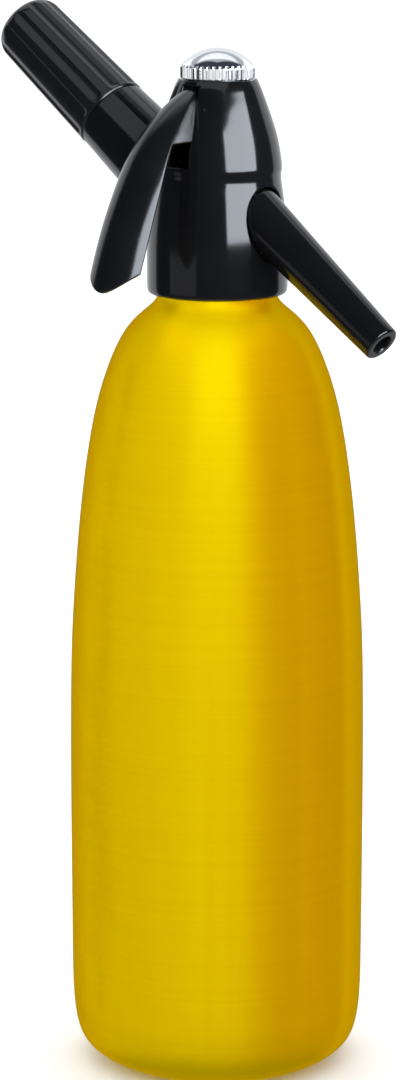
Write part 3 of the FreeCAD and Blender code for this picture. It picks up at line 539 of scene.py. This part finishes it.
boss_line = rounded([(0, 10.0), (13.68, 10.0, 0), (11.76, 51.4, 0.35), (0, 51.4)], 5)
T_BOSS = Profile(boss_line)
T_BORE = Profile(np.array([(0, 14.8), (9.05, 14.8), (9.05, 34.2), (10.65, 34.2), (10.65, 60.0), (0, 60.0)]))


def along(x, y, z, axis):
    (ox, _, oz), (dx, _, dz) = axis
    s = (x - ox) * dx + (z - oz) * dz
    v = (x - ox) * dz - (z - oz) * dx
    return s, np.sqrt(v * v + y * y)


def box_field(x, y, z, x0, x1, y0, y1, z0, z1):
    qx = np.abs(x - (x0 + x1) / 2) - (x1 - x0) / 2
    qy = np.abs(y - (y0 + y1) / 2) - (y1 - y0) / 2
    qz = np.abs(z - (z0 + z1) / 2) - (z1 - z0) / 2
    out = np.sqrt(np.maximum(qx, 0) ** 2 + np.maximum(qy, 0) ** 2 + np.maximum(qz, 0) ** 2)
    return out + np.minimum(np.maximum(np.maximum(qx, qy), qz), 0)


def spout_rad(u):
    return 8.03 - 0.0395 * (u - 17.6)


def casing_field(x, y, z):
    r = np.sqrt(x * x + y * y)
    zz = z + 0 * r
    body = T_OUT(r, zz)
    s, rho = along(x, y, z, HOLDER_AXIS)
    boss = T_BOSS(rho, np.where(s > 10.0, s, 10.0))
    boss = np.where(s > 10.0, boss, np.maximum(boss, 10.0 - s))
    solid = smin(body, boss, 3.2)
    solid = np.maximum(solid, 239.8 - z)
    hollow = T_IN(r, zz)
    cheeks = np.minimum(box_field(x, y, z, 4.3, 10.5, -17.0, -9.2, 291.3, 299.8), box_field(x, y, z, -10.5, -4.3, -17.0, -9.2, 291.3, 299.8))
    out = smax(solid, -hollow, 0.35)
    out = np.minimum(out, np.maximum(cheeks, solid + 0.3))
    out = smax(out, -T_BORE(rho, s), 0.35)
    u, rs = along(x, y, z, SPOUT_AXIS)
    hole = np.maximum(rs - (spout_rad(u) + 0.4), 11.0 - u)
    out = smax(out, -hole, 0.9)
    narrow = np.clip(z - 289.0, 0, 12.0) * 0.1
    slot = np.maximum(box_field(x, y, z, -4.3, 4.3, -30.0, -8.6, 279.1, 300.7), np.abs(x) + narrow - 4.3)
    nose = np.maximum(box_field(x, y, z, -4.3, 4.3, -30.0, -11.3, 299.0, 302.5), np.abs(x) + narrow - 4.3)
    out = smax(out, -np.minimum(slot, nose), 0.6)
    pin = np.maximum(np.sqrt((y + 12.5) ** 2 + (z - 295.5) ** 2) - 1.15, np.abs(x) - 6.45)
    return smax(out, -pin, 0.15)


H = 0.42
casing = surface("head_casing_shell", casing_field, (-52.6, -22.6, 238.8), (22.6, 22.6, 305.4), H)
finish_piece(casing, "black_plastic", "head", "head_casing")


# -------------------------------------------------------------------- the spout
def spout():
    cols = 144
    phi = np.linspace(0, 2 * np.pi, cols, endpoint=False)

    def start(r):
        v, w = r * np.cos(phi), r * np.sin(phi)
        # the axis frame's first side points up and outwards
        return (np.sqrt(np.maximum(18.95 ** 2 - w * w, 0)) - st * v) / ct

    rows = [(3.15, 12.3 + 0 * phi), (3.4, 12.0 + 0 * phi), (4.6, 12.0 + 0 * phi), (4.8, 12.2 + 0 * phi), (4.8, 14.0 + 0 * phi), (3.9, 14.02 + 0 * phi),
            (3.9, 15.38 + 0 * phi), (4.8, 15.4 + 0 * phi), (4.8, 17.0 + 0 * phi), (4.8, start(4.8)), (6.4, start(6.4)), (7.6, start(7.6))]
    s0 = start(7.95)
    end = 78.26
    body = np.r_[0, 0.004, np.linspace(0.02, 0.965, 60)]
    for f in body:
        rows.append((None, s0 + (end - 1.2 - s0) * f))
    tip = rounded([(spout_rad(74.0), 74.0), (5.634, end, 0.75), (3.4, end, 0.30), (3.15, 77.6, 0.2), (3.15, 70.0)], 7)
    for p in tip[1:]:
        rows.append((p[0], p[1] + 0 * phi))
    for s in np.linspace(69.0, 12.3, 16):
        rows.append((3.15, s + 0 * phi))
    rr, ss = [], []
    for r, s in rows:
        ss.append(s)
        rr.append(spout_rad(s) if r is None else r + 0 * phi)
    rr, ss = np.array(rr), np.array(ss)
    # the shoulder's edge is eased
    first = 12
    rr[first] -= 0.12
    d = np.array(SPOUT_AXIS[1])
    side = np.array([0.0, 1.0, 0.0])
    up = np.array([st, 0.0, ct])
    pts = np.array(SPOUT_AXIS[0]) + ss[..., None] * d + (rr * np.cos(phi))[..., None] * up + (rr * np.sin(phi))[..., None] * side
    ob = build("spout_tube", pts.reshape(-1, 3), [grid_faces(len(rr), cols, True)], sharp=40)
    return finish_piece(ob, "black_plastic_spout", "head", "spout")


spout()

# -------------------------------------------------------------------- the lever
SPINE = [(-13.2, 301.9, 2.6, .6), (-17.6, 299.7, 4.1, 1.2), (-23.2, 296.2, 5.7, 2.2), (-30.6, 290.0, 7.1, 3.2),
         (-35.6, 284.0, 8.1, 4.0), (-39.4, 278.0, 8.8, 4.6), (-42.7, 272.0, 9.2, 5.0), (-45.7, 266.0, 9.5, 5.3),
         (-48.4, 260.0, 9.6, 5.6), (-50.7, 254.0, 9.6, 5.6), (-52.8, 248.0, 9.5, 5.5), (-54.6, 242.0, 9.3, 5.3)]


def lever():
    n = 400
    sp = spline(SPINE, n)
    d = np.gradient(sp[:, :2], axis=0)
    seg = np.linalg.norm(d, axis=1, keepdims=True)
    tan = d / seg
    nor = np.c_[tan[:, 1], -tan[:, 0]]
    length = np.r_[0, np.cumsum(np.linalg.norm(np.diff(sp[:, :2], axis=0), axis=1))]
    wall, rim = 1.9, 0.62

    def at(s, share, off):
        """Point on the shell at length s, share -1..1 of its width, off from the middle surface."""
        g = np.interp(s, length, np.arange(n))
        i = np.clip(g.astype(int), 0, n - 2)
        f = (g - i)[..., None]
        y, z, w, c = np.moveaxis(sp[i] * (1 - f) + sp[i + 1] * f, -1, 0)
        nn = nor[i] * (1 - f) + nor[i + 1] * f
        nn /= np.linalg.norm(nn, axis=-1, keepdims=True)
        rad = (w * w + c * c) / (2 * c)
        half = np.arcsin(np.minimum(1, w / rad))
        ang = half * share
        rho = rad - wall / 2 + off
        h = -rad + rho * np.cos(ang)
        return np.stack([rho * np.sin(ang), y + nn[..., 0] * h, z + nn[..., 1] * h], -1), half * (rad - wall / 2)

    edge = np.r_[0, 0.004, 0.010, 0.018, 0.028, 0.042, 0.065]
    u = np.r_[-1 + edge, np.linspace(-0.9, 0.9, 49), (1 - edge)[::-1]]
    # where each column meets the V of the tip
    s_end = np.zeros(len(u))
    for i, q in enumerate(u):
        lo, hi = 20.0, length[-1]
        for _ in range(40):
            mid = (lo + hi) / 2
            p, _ = at(np.array([mid]), np.array([q]), np.array([0.0]))
            w = abs(p[0, 0])
            v = 245.15 + 0.175 * (math.sqrt(w * w + 0.3) - 0.25) ** 1.6 + 0.45 * max(0.0, w - 8.3) ** 1.5
            if p[0, 2] > v:
                lo = mid
            else:
                hi = mid
        s_end[i] = (lo + hi) / 2
    e2 = np.array([0, 0.08, 0.2, 0.36, 0.56, 0.85, 1.3])
    rows = []
    for k in range(7):
        rows.append((0.0, e2[k]))
    for f in np.linspace(0.03, 0.97, 90):
        rows.append((f, 0.0))
    for k in range(6, -1, -1):
        rows.append((1.0, -e2[k]))
    s = np.array([[s_end[j] * f + o for j in range(len(u))] for f, o in rows])
    uu = np.broadcast_to(u, s.shape)
    _, arc = at(s, uu, 0 * s)
    side = (1 - np.abs(uu)) * arc
    tip = (s_end[None, :] - s) * 0.78
    dist = np.minimum(np.minimum(side, tip), s)
    q = np.clip(dist / rim, 0, 1)
    off = wall / 2 - rim + rim * np.sqrt(np.maximum(0, 1 - (1 - q) ** 2))
    a, _ = at(s, uu, off)
    b, _ = at(s, uu, -off)
    m, k = s.shape
    fa = grid_faces(m, k, False)
    fb = grid_faces(m, k, False, m * k)[:, ::-1]
    border = ([(0, j) for j in range(k)] + [(i, k - 1) for i in range(1, m)] + [(m - 1, j) for j in range(k - 2, -1, -1)]
              + [(i, 0) for i in range(m - 2, 0, -1)])
    idx = np.array([i * k + j for i, j in border])
    nxt = np.roll(idx, -1)
    fc = np.stack([idx, nxt, nxt + m * k, idx + m * k], 1)
    ob = build("lever_shell", np.vstack([a.reshape(-1, 3), b.reshape(-1, 3)]), [fa, fb, fc], sharp=50)
    finish_piece(ob, "black_plastic_lever", "lever", "lever")

    outline = np.array([(-12.7, 300.0), (-16.7, 298.0), (-22.2, 294.5), (-29.5, 288.7), (-31.4, 286.6), (-12.0, 286.6),
                        (-10.6, 290.6), (-7.0, 293.4), (3.2, 294.2), (3.2, 296.7), (-6.0, 297.0), (-10.0, 299.2)])

    def arm_field(x, y, z):
        best = np.full(np.broadcast(y, z).shape, 1e9)
        inside = np.zeros(best.shape, bool)
        for p, q in zip(outline, np.roll(outline, -1, 0)):
            e = q - p
            t = np.clip(((y - p[0]) * e[0] + (z - p[1]) * e[1]) / float(e @ e), 0, 1)
            best = np.minimum(best, (y - p[0] - t * e[0]) ** 2 + (z - p[1] - t * e[1]) ** 2)
            if p[1] != q[1]:
                inside ^= ((p[1] > z) != (q[1] > z)) & (y < (q[0] - p[0]) * (z - p[1]) / (q[1] - p[1]) + p[0])
        flat = np.where(inside, -1, 1) * np.sqrt(best)
        out = smax(flat, np.abs(x) + np.clip(z - 289.0, 0, 12.0) * 0.1 - 3.8, 0.7)
        notch = np.maximum(np.abs(x) - 2.6, -3.9 - y)
        out = smax(out, -notch, 0.4)
        pin = np.sqrt((y + 12.5) ** 2 + (z - 295.5) ** 2) - 1.2
        return smax(out, -pin, 0.15)

    arm = surface("lever_arm", arm_field, (-4.8, -33.0, 285.4), (4.8, 4.2, 301.0), 0.4, relax=1)
    finish_piece(arm, "black_plastic_lever", "lever")


lever()


# ------------------------------------------------------------ the charger holder
def holder():
    m, e = 51.6, 97.9
    top = 10.91
    count, cutter, depth = 11, 4.2, 0.62
    side = rounded([(9.95, m), (11.62, m, 0.12), (11.95, m + 0.5, 0.35), (top, e - 5.2)], 5)[:-1]
    side_end = np.array([(11.95 + (top - 11.95) * f, m + 0.5 + (e - 5.7 - m) * f) for f in np.linspace(0.02, 1, 64)])
    dome = spline([(top, e - 5.2), (10.66, e - 4.1), (10.15, e - 2.8), (9.2, e - 1.55), (7.65, e - 0.65), (5.3, e - 0.18), (2.6, e - 0.03), (0, e)], 34)[1:]
    inside = np.array([(0, 95.4), (4.0, 95.4), (8.8, 95.4), (9.1, 95.1), (9.1, 78.0), (9.1, 62.0), (9.1, 43.9), (9.3, 43.6), (9.6, 43.6)])
    thread = refine(np.array([(9.75, 43.6), (9.95, 43.8), (9.95, m)]), 0.16)
    prof = np.vstack([inside, thread[:-1], side, side_end, dome])
    n_in = len(inside) + len(thread) - 1
    # columns gather at the edges of each groove
    v = np.r_[np.linspace(-0.97, 0.97, 13)[1:-1], 1 - 0.05, 1.0, 1.05, np.linspace(1.15, 2.85, 9), 3 - 0.05, 3.0, 3.05]
    v = np.sort(np.unique(np.round(v, 5)))
    v = v[(v > -0.96) & (v <= 3.04)]
    v = np.concatenate([[-0.90], v[v > -0.9]])
    period = 2 * np.pi / count
    cols = len(v) * count
    r = prof[:, 0][:, None] + np.zeros((1, cols))
    s = prof[:, 1][:, None] + np.zeros((1, cols))
    phi = np.zeros_like(r)
    base = prof[:, 0]
    for k in range(count):
        centre = math.radians(8.0) + period * k
        for j, q in enumerate(v):
            c = k * len(v) + j
            # ends of the grooves: a scoop near the mouth, run-out on the dome
            end = np.clip((m + 2.0 - prof[:, 1]), 0, None)
            cut = np.sqrt(np.maximum(cutter ** 2 - end ** 2 * 4.2, 0.01))
            ref = np.interp(prof[:, 1], [m, e - 5.2, e], [11.95, top, top - 0.18])
            cr = ref + cutter - depth
            cosv = np.clip((base ** 2 + cr ** 2 - cut ** 2) / (2 * np.maximum(base, 1.0) * cr), -1, 1)
            half = np.arccos(cosv)
            nominal = math.asin(2.24 / 11.4)
            active = (np.arange(len(prof)) >= n_in) & (half > 1e-4) & (prof[:, 1] > m + 0.6)
            half = np.where(active, np.maximum(half, 0.012), nominal * np.clip((prof[:, 1] - m - 0.1) / 0.8, 0.15, 1))
            if q <= 1:
                delta = q * half
            else:
                w = (q - 1) / 2
                delta = half + (period - 2 * half) * w
            phi[:, c] = centre + delta
            near = delta if q <= 1 else np.minimum(delta, period - delta)
            inner = cut ** 2 - (cr * np.sin(near)) ** 2
            scoop = np.where(inner > 0, cr * np.cos(near) - np.sqrt(np.maximum(inner, 0)), 99.0)
            r[:, c] = np.where(active & (base > 2.0), smin(base, scoop, 0.10), base)
    # the thread on the spigot
    on = (np.arange(len(prof)) >= len(inside))[:, None] & (np.arange(len(prof)) < n_in)[:, None] & (np.abs(r - 9.95) < 0.02)
    turns = (s - 44.6 - 2.0 * phi / (2 * np.pi)) / 2.0
    off = np.abs(turns - np.round(turns)) * 2.0
    fade = smooth(s - 2.0 * phi / (2 * np.pi), 43.8, 44.5) * (1 - smooth(s, 49.7, 50.8))
    r = r + np.where(on, 0.55 * (1 - smooth(off, 0.2, 0.62)) * fade, 0)
    d = np.array(HOLDER_AXIS[1])
    sideways = np.array([0.0, 1.0, 0.0])
    up = np.array([sh, 0.0, ch])
    pts = np.array(HOLDER_AXIS[0]) + s[..., None] * d + (r * np.cos(phi))[..., None] * up + (r * np.sin(phi))[..., None] * sideways
    ob = build("charger_holder_cup", pts.reshape(-1, 3), [grid_faces(len(prof), cols, True)], sharp=55)
    return finish_piece(ob, "black_plastic_holder", "holder", "charger_holder")


holder()


# ------------------------------------------------------------------- the top cap
def cap():
    knurls, per = 36, 14
    cols = knurls * per
    phi = np.linspace(0, 2 * np.pi, cols, endpoint=False)[None, :]
    flat = 5.2
    rad = (10.95 ** 2 + flat ** 2) / (2 * flat)
    dome = [(r, 313.5 - rad + math.sqrt(rad * rad - r * r)) for r in np.linspace(0, 10.7, 26)]
    ring = refine(rounded([(10.7, dome[-1][1]), (11.0, 308.15, 0.2), (11.2, 307.9, 0.15), (11.2, 304.75, 0.15), (10.95, 304.5, 0.12), (9.3, 304.5, 0.1), (9.1, 304.3)], 3), 0.3)
    spig = refine(np.array([(9.1, 304.3), (9.1, 300.2), (8.9, 300.0)]), 0.14)
    inner = np.array([(8.2, 300.0), (8.0, 300.2), (8.0, 305.0), (8.0, 308.9), (7.8, 309.0), (4.0, 309.0), (0, 309.0)])
    prof = np.vstack([np.array(dome), ring[1:], spig[1:], inner])
    r = prof[:, :1] + 0 * phi
    z = prof[:, 1:] + 0 * phi
    t = (phi * knurls / (2 * np.pi)) % 1.0
    t = np.abs(t - 0.5) * 2
    flute = 0.42 * (1 - smooth(t, 0.18, 0.62))
    on = smooth(r, 10.75, 10.98) * smooth(z, 304.5, 304.65) * (z < 308.5)
    r = r - flute * on
    turns = (z - 300.7 - 1.5 * phi / (2 * np.pi)) / 1.5
    off = np.abs(turns - np.round(turns)) * 1.5
    idx = np.arange(len(prof))[:, None]
    is_spig = (idx >= len(dome) + len(ring) - 1) & (idx < len(dome) + len(ring) - 1 + len(spig) - 1) & (np.abs(r - 9.1) < 0.02)
    r = r + np.where(is_spig, 0.45 * (1 - smooth(off, 0.15, 0.5)) * smooth(z, 300.2, 300.6) * (1 - smooth(z, 302.9, 303.5)), 0)
    ob = build("top_cap_knob", axis_points(r, phi, z, *Z_AXIS).reshape(-1, 3), [grid_faces(len(prof), cols, True)], sharp=40)
    return finish_piece(ob, "chrome", "cap", "top_cap")


cap()


# ------------------------------------------------------------- the valve's spring
def spring():
    low, top, rad, wire, turns = 299.33, 308.4, 3.9, 0.45, 4.75
    s = np.linspace(0, 1, 260)
    a = 2 * np.pi * turns * s
    mid = np.stack([rad * np.cos(a), rad * np.sin(a), low + wire + (top - low - 2 * wire) * s], 1)
    out = np.stack([np.cos(a), np.sin(a), 0 * a], 1)
    phi = np.linspace(0, 2 * np.pi, 20, endpoint=False)[None, :, None]
    size = np.r_[0.0, 0.8, np.ones(len(s) - 4), 0.8, 0.0][:, None, None] * wire
    pts = mid[:, None, :] + size * (np.cos(phi) * out[:, None, :] + np.sin(phi) * np.array([0.0, 0.0, 1.0]))
    ob = build("valve_spring_coil", pts.reshape(-1, 3), [grid_faces(len(s), 20, True)], sharp=60)
    finish_piece(ob, "spring_steel", "head", "valve_spring")
    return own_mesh(ob)


spring()

# ------------------------------------------------- CAD nodes that keep their shape
SLOTS = {s["node"]: s["material_slot"] for s in frame["record"]["subparts"]}
for name, ob in NODES.items():
    if ob.hide_render:
        continue
    ob.data.materials.clear()
    ob.data.materials.append(MATS[SLOTS[name]])

# ------------------------------------------------------------------------ stage
floor_me = bpy.data.meshes.new("floor")
bm = bmesh.new()
bmesh.ops.create_circle(bm, cap_ends=True, segments=96, radius=18.0)
bm.to_mesh(floor_me)
bm.free()
floor = bpy.data.objects.new("floor", floor_me)
scene.collection.objects.link(floor)
fm = Mat("floor")
fn = fm.noise(fm.scaled(3, 3, 3), 1.0, 2.0, 0.5)
fm.link(fm.ramp(fn, [(0.3, (0.905, 0.907, 0.91)), (0.7, (0.925, 0.925, 0.925))]), fm.b.inputs["Base Color"])
fm.set(Roughness=0.9, Specular_IOR_Level=0.0)
floor_me.materials.append(fm.m)
floor.visible_glossy = False

# Directions round the object are counted from the side the picture is taken from.
FRONT = np.array([math.sin(math.radians(40.0)), -math.cos(math.radians(40.0)), 0.0])
RIGHT = np.array([math.cos(math.radians(40.0)), math.sin(math.radians(40.0)), 0.0])


def studio_world():
    w = bpy.data.worlds.new("studio")
    w.use_nodes = True
    scene.world = w
    t = w.node_tree
    t.nodes.clear()

    def n(kind, **kw):
        a = t.nodes.new(kind)
        for k, v in kw.items():
            setattr(a, k, v)
        return a

    def math_node(op, a, b=None, clamp=False):
        m = n("ShaderNodeMath", operation=op)
        m.use_clamp = clamp
        for i, q in enumerate((a, b)):
            if q is None:
                continue
            if isinstance(q, (int, float)):
                m.inputs[i].default_value = q
            else:
                t.links.new(q, m.inputs[i])
        return m.outputs[0]

    def step(v, a, b, lo=0.0, hi=1.0):
        m = n("ShaderNodeMapRange", interpolation_type="SMOOTHSTEP")
        m.inputs["From Min"].default_value = a
        m.inputs["From Max"].default_value = b
        m.inputs["To Min"].default_value = lo
        m.inputs["To Max"].default_value = hi
        t.links.new(v, m.inputs["Value"])
        return m.outputs[0]

    co = n("ShaderNodeTexCoord")
    sep = n("ShaderNodeSeparateXYZ")
    t.links.new(co.outputs["Generated"], sep.inputs[0])
    x, y, z = sep.outputs
    f = math_node("ADD", math_node("MULTIPLY", x, float(FRONT[0])), math_node("MULTIPLY", y, float(FRONT[1])))
    rt = math_node("ADD", math_node("MULTIPLY", x, float(RIGHT[0])), math_node("MULTIPLY", y, float(RIGHT[1])))
    flat = math_node("SQRT", math_node("MAXIMUM", math_node("ADD", math_node("MULTIPLY", x, x), math_node("MULTIPLY", y, y)), 1e-5))
    cosaz = math_node("DIVIDE", f, flat)
    back = step(cosaz, -0.38, -0.58)
    over = math_node("ADD", f, math_node("MULTIPLY", math_node("ABSOLUTE", rt), 0.2))
    top = math_node("MULTIPLY", step(z, 0.70, 0.84), step(over, -0.16, -0.22))
    low = step(z, -0.50, -0.72)
    dark = 0.052
    v = math_node("MULTIPLY", back, 0.50 - dark)
    v = math_node("ADD", v, dark)
    v = math_node("MAXIMUM", v, math_node("MULTIPLY", top, 1.15))
    v = math_node("MAXIMUM", v, math_node("MULTIPLY", low, 0.32))
    comb = n("ShaderNodeCombineColor")
    t.links.new(math_node("ADD", math_node("MULTIPLY", v, 0.97), -0.004), comb.inputs[0])
    t.links.new(v, comb.inputs[1])
    t.links.new(math_node("ADD", math_node("MULTIPLY", v, 1.04), 0.012), comb.inputs[2])
    lit = n("ShaderNodeBackground")
    t.links.new(comb.outputs[0], lit.inputs["Color"])
    lit.inputs["Strength"].default_value = 1.0
    seen = n("ShaderNodeBackground")
    seen.inputs["Color"].default_value = (1.0, 1.0, 1.0, 1)
    path = n("ShaderNodeLightPath")
    mix = n("ShaderNodeMixShader")
    t.links.new(path.outputs["Is Camera Ray"], mix.inputs[0])
    t.links.new(lit.outputs[0], mix.inputs[1])
    t.links.new(seen.outputs[0], mix.inputs[2])
    out = n("ShaderNodeOutputWorld")
    t.links.new(mix.outputs[0], out.inputs[0])


studio_world()


def softbox(name, azimuth, elevation, distance, width, height, radiance, colour=(1, 1, 1), aim=(0, 0, 0.2), only=None, spread=180.0, shade=None):
    """Rectangular light at an azimuth to the right of the picture's side, aimed at a point of the object."""
    a, e = math.radians(azimuth), math.radians(elevation)
    back = (FRONT * math.cos(a) + RIGHT * math.sin(a)) * math.cos(e) + np.array([0, 0, math.sin(e)])
    li = bpy.data.lights.new(name, "AREA")
    li.shape = "RECTANGLE"
    li.size, li.size_y = width, height
    li.energy = radiance * math.pi * width * height
    li.color = colour
    li.spread = math.radians(spread)
    ob = bpy.data.objects.new(name, li)
    scene.collection.objects.link(ob)
    ob.location = Vector(aim) + Vector(back) * distance
    ob.rotation_mode = "QUATERNION"
    ob.rotation_quaternion = Vector(back).to_track_quat("Z", "Y")
    ob.visible_camera = False
    if only:
        group = bpy.data.collections.new(name + "_lights")
        for o in only:
            group.objects.link(o)
        ob.light_linking.receiver_collection = group
    if shade:
        group = bpy.data.collections.new(name + "_shade")
        for o in shade:
            group.objects.link(o)
        ob.light_linking.blocker_collection = group
        li.cycles.use_multiple_importance_sampling = False
    return ob


everything = [o for o in scene.objects if o.type == "MESH" and not o.hide_render and o is not floor]
bottle_ob = bpy.data.objects["bottle"]
darks = [o for o in everything if o is not bottle_ob]

softbox("key_right", 44, 16.0, 1.2, 1.33, 0.76, 10.4, (0.85, 0.92, 1.0), aim=(0, 0, 0.268), only=darks)
cap_ob = bpy.data.objects["top_cap_knob"]
softbox("rim_back", 180, 6, 2.0, 7.4, 4.0, 0.50, aim=(0, 0, 0.25), only=[o for o in darks if o is not cap_ob])
softbox("upper_left", -20, 62, 1.0, 1.4, 0.7, 0.7, (0.93, 0.97, 1.0), aim=(-0.03, 0, 0.29), only=[casing, bpy.data.objects["charger_holder_cup"]])
# a tent of strips round the bottle, cooler on the left and warmer on the right
TENT = [(-165, 30, 0.03, 0), (-135, 30, 0.10, 0), (-107, 26, 0.59, 0), (-83, 22, 0.68, 0), (-61, 22, 0.72, 0), (-39, 22, 0.76, 0), (-17, 22, 0.80, 0),
        (3, 18, 0.82, 0.1), (19, 14, 0.80, 0.2), (36, 20, 0.66, 1.0), (57, 22, 0.61, 1.15), (79, 22, 0.60, 1.2), (101, 22, 0.54, 1.25), (121, 18, 0.30, 1.35), (142, 24, 0.08, 1), (165, 22, 0.02, 1)]
for k, (az, wide, level, warm) in enumerate(TENT):
    softbox("tent_%02d" % k, az, 8, 1.5, 2 * 1.5 * math.tan(math.radians(wide / 2)), 3.6, level, (1.0, 0.96 - 0.22 * warm, 0.90 - 0.30 * warm),
            aim=(0, 0, 0.15), only=[bottle_ob], shade=[bottle_ob])
softbox("bottle_front", 2, 36, 1.5, 1.28, 1.5, 0.52, (0.64, 1.0, 0.6), aim=(0, 0, 0.18), only=[bottle_ob], shade=[bottle_ob])
softbox("bottle_top", 0, 84, 1.5, 2.2, 1.5, 0.80, (1.0, 0.98, 0.7), aim=(0, 0, 0.2), only=[bottle_ob], shade=[bottle_ob])
softbox("floor_fill", 0, 90, 3.0, 60.0, 60.0, 1.25, aim=(0, 0, 0), only=[floor])
arm_ob = bpy.data.objects["lever_arm"]
softbox("arm_panel", 100, -12, 0.5, 0.25, 0.25, 4.0, (0.85, 0.92, 1.0), aim=(0, -0.02, 0.29), only=[arm_ob], shade=[arm_ob])
softbox("low_left", -58, -12, 0.5, 0.44, 0.12, 0.3, aim=(0, 0, 0.25), only=darks)
for k, (az, wide) in enumerate(((-112, 0.42), (-4, 1.05), (104, 0.42))):
    softbox("cap_panel_%d" % k, az, -8, 0.5, wide, 0.3, 0.90, aim=(0, 0, 0.306), only=[cap_ob])
for k, az in enumerate((-100, 180, 100)):
    softbox("cap_back_%d" % k, az, 21, 0.5, 1.0, 0.42, 0.45, aim=(0, 0, 0.31), only=[cap_ob])

# ----------------------------------------------------------------------- camera
pitch, yaw = math.radians(11.647), math.atan(17.5 / 3937.9)


def to_frame(v):
    """Picture axes (right, away, up) to the part's frame."""
    away = -FRONT
    return Vector(RIGHT * v[0] + away * v[1] + np.array([0, 0, 1.0]) * v[2])


fwd = np.array([-math.sin(yaw) * math.cos(pitch), math.cos(yaw) * math.cos(pitch), -math.sin(pitch)])
rgt = np.array([math.cos(yaw), math.sin(yaw), 0.0])
upv = np.cross(rgt, fwd)
cam_data = bpy.data.cameras.new("camera")
cam_data.lens = 131.263
cam_data.sensor_width = 36.0
cam_data.clip_start, cam_data.clip_end = 0.02, 100.0
cam = bpy.data.objects.new("camera", cam_data)
scene.collection.objects.link(cam)
X, Y, Zv = to_frame(rgt), to_frame(upv), -to_frame(fwd)
place = Matrix((X, Y, Zv)).transposed().to_4x4()
place.translation = to_frame((0.0, -1.180, 0.40667))
cam.matrix_world = place
scene.camera = cam

scene.view_settings.view_transform = "Standard"
scene.view_settings.look = "None"
scene.view_settings.exposure = 0.0
scene.view_settings.gamma = 1.0
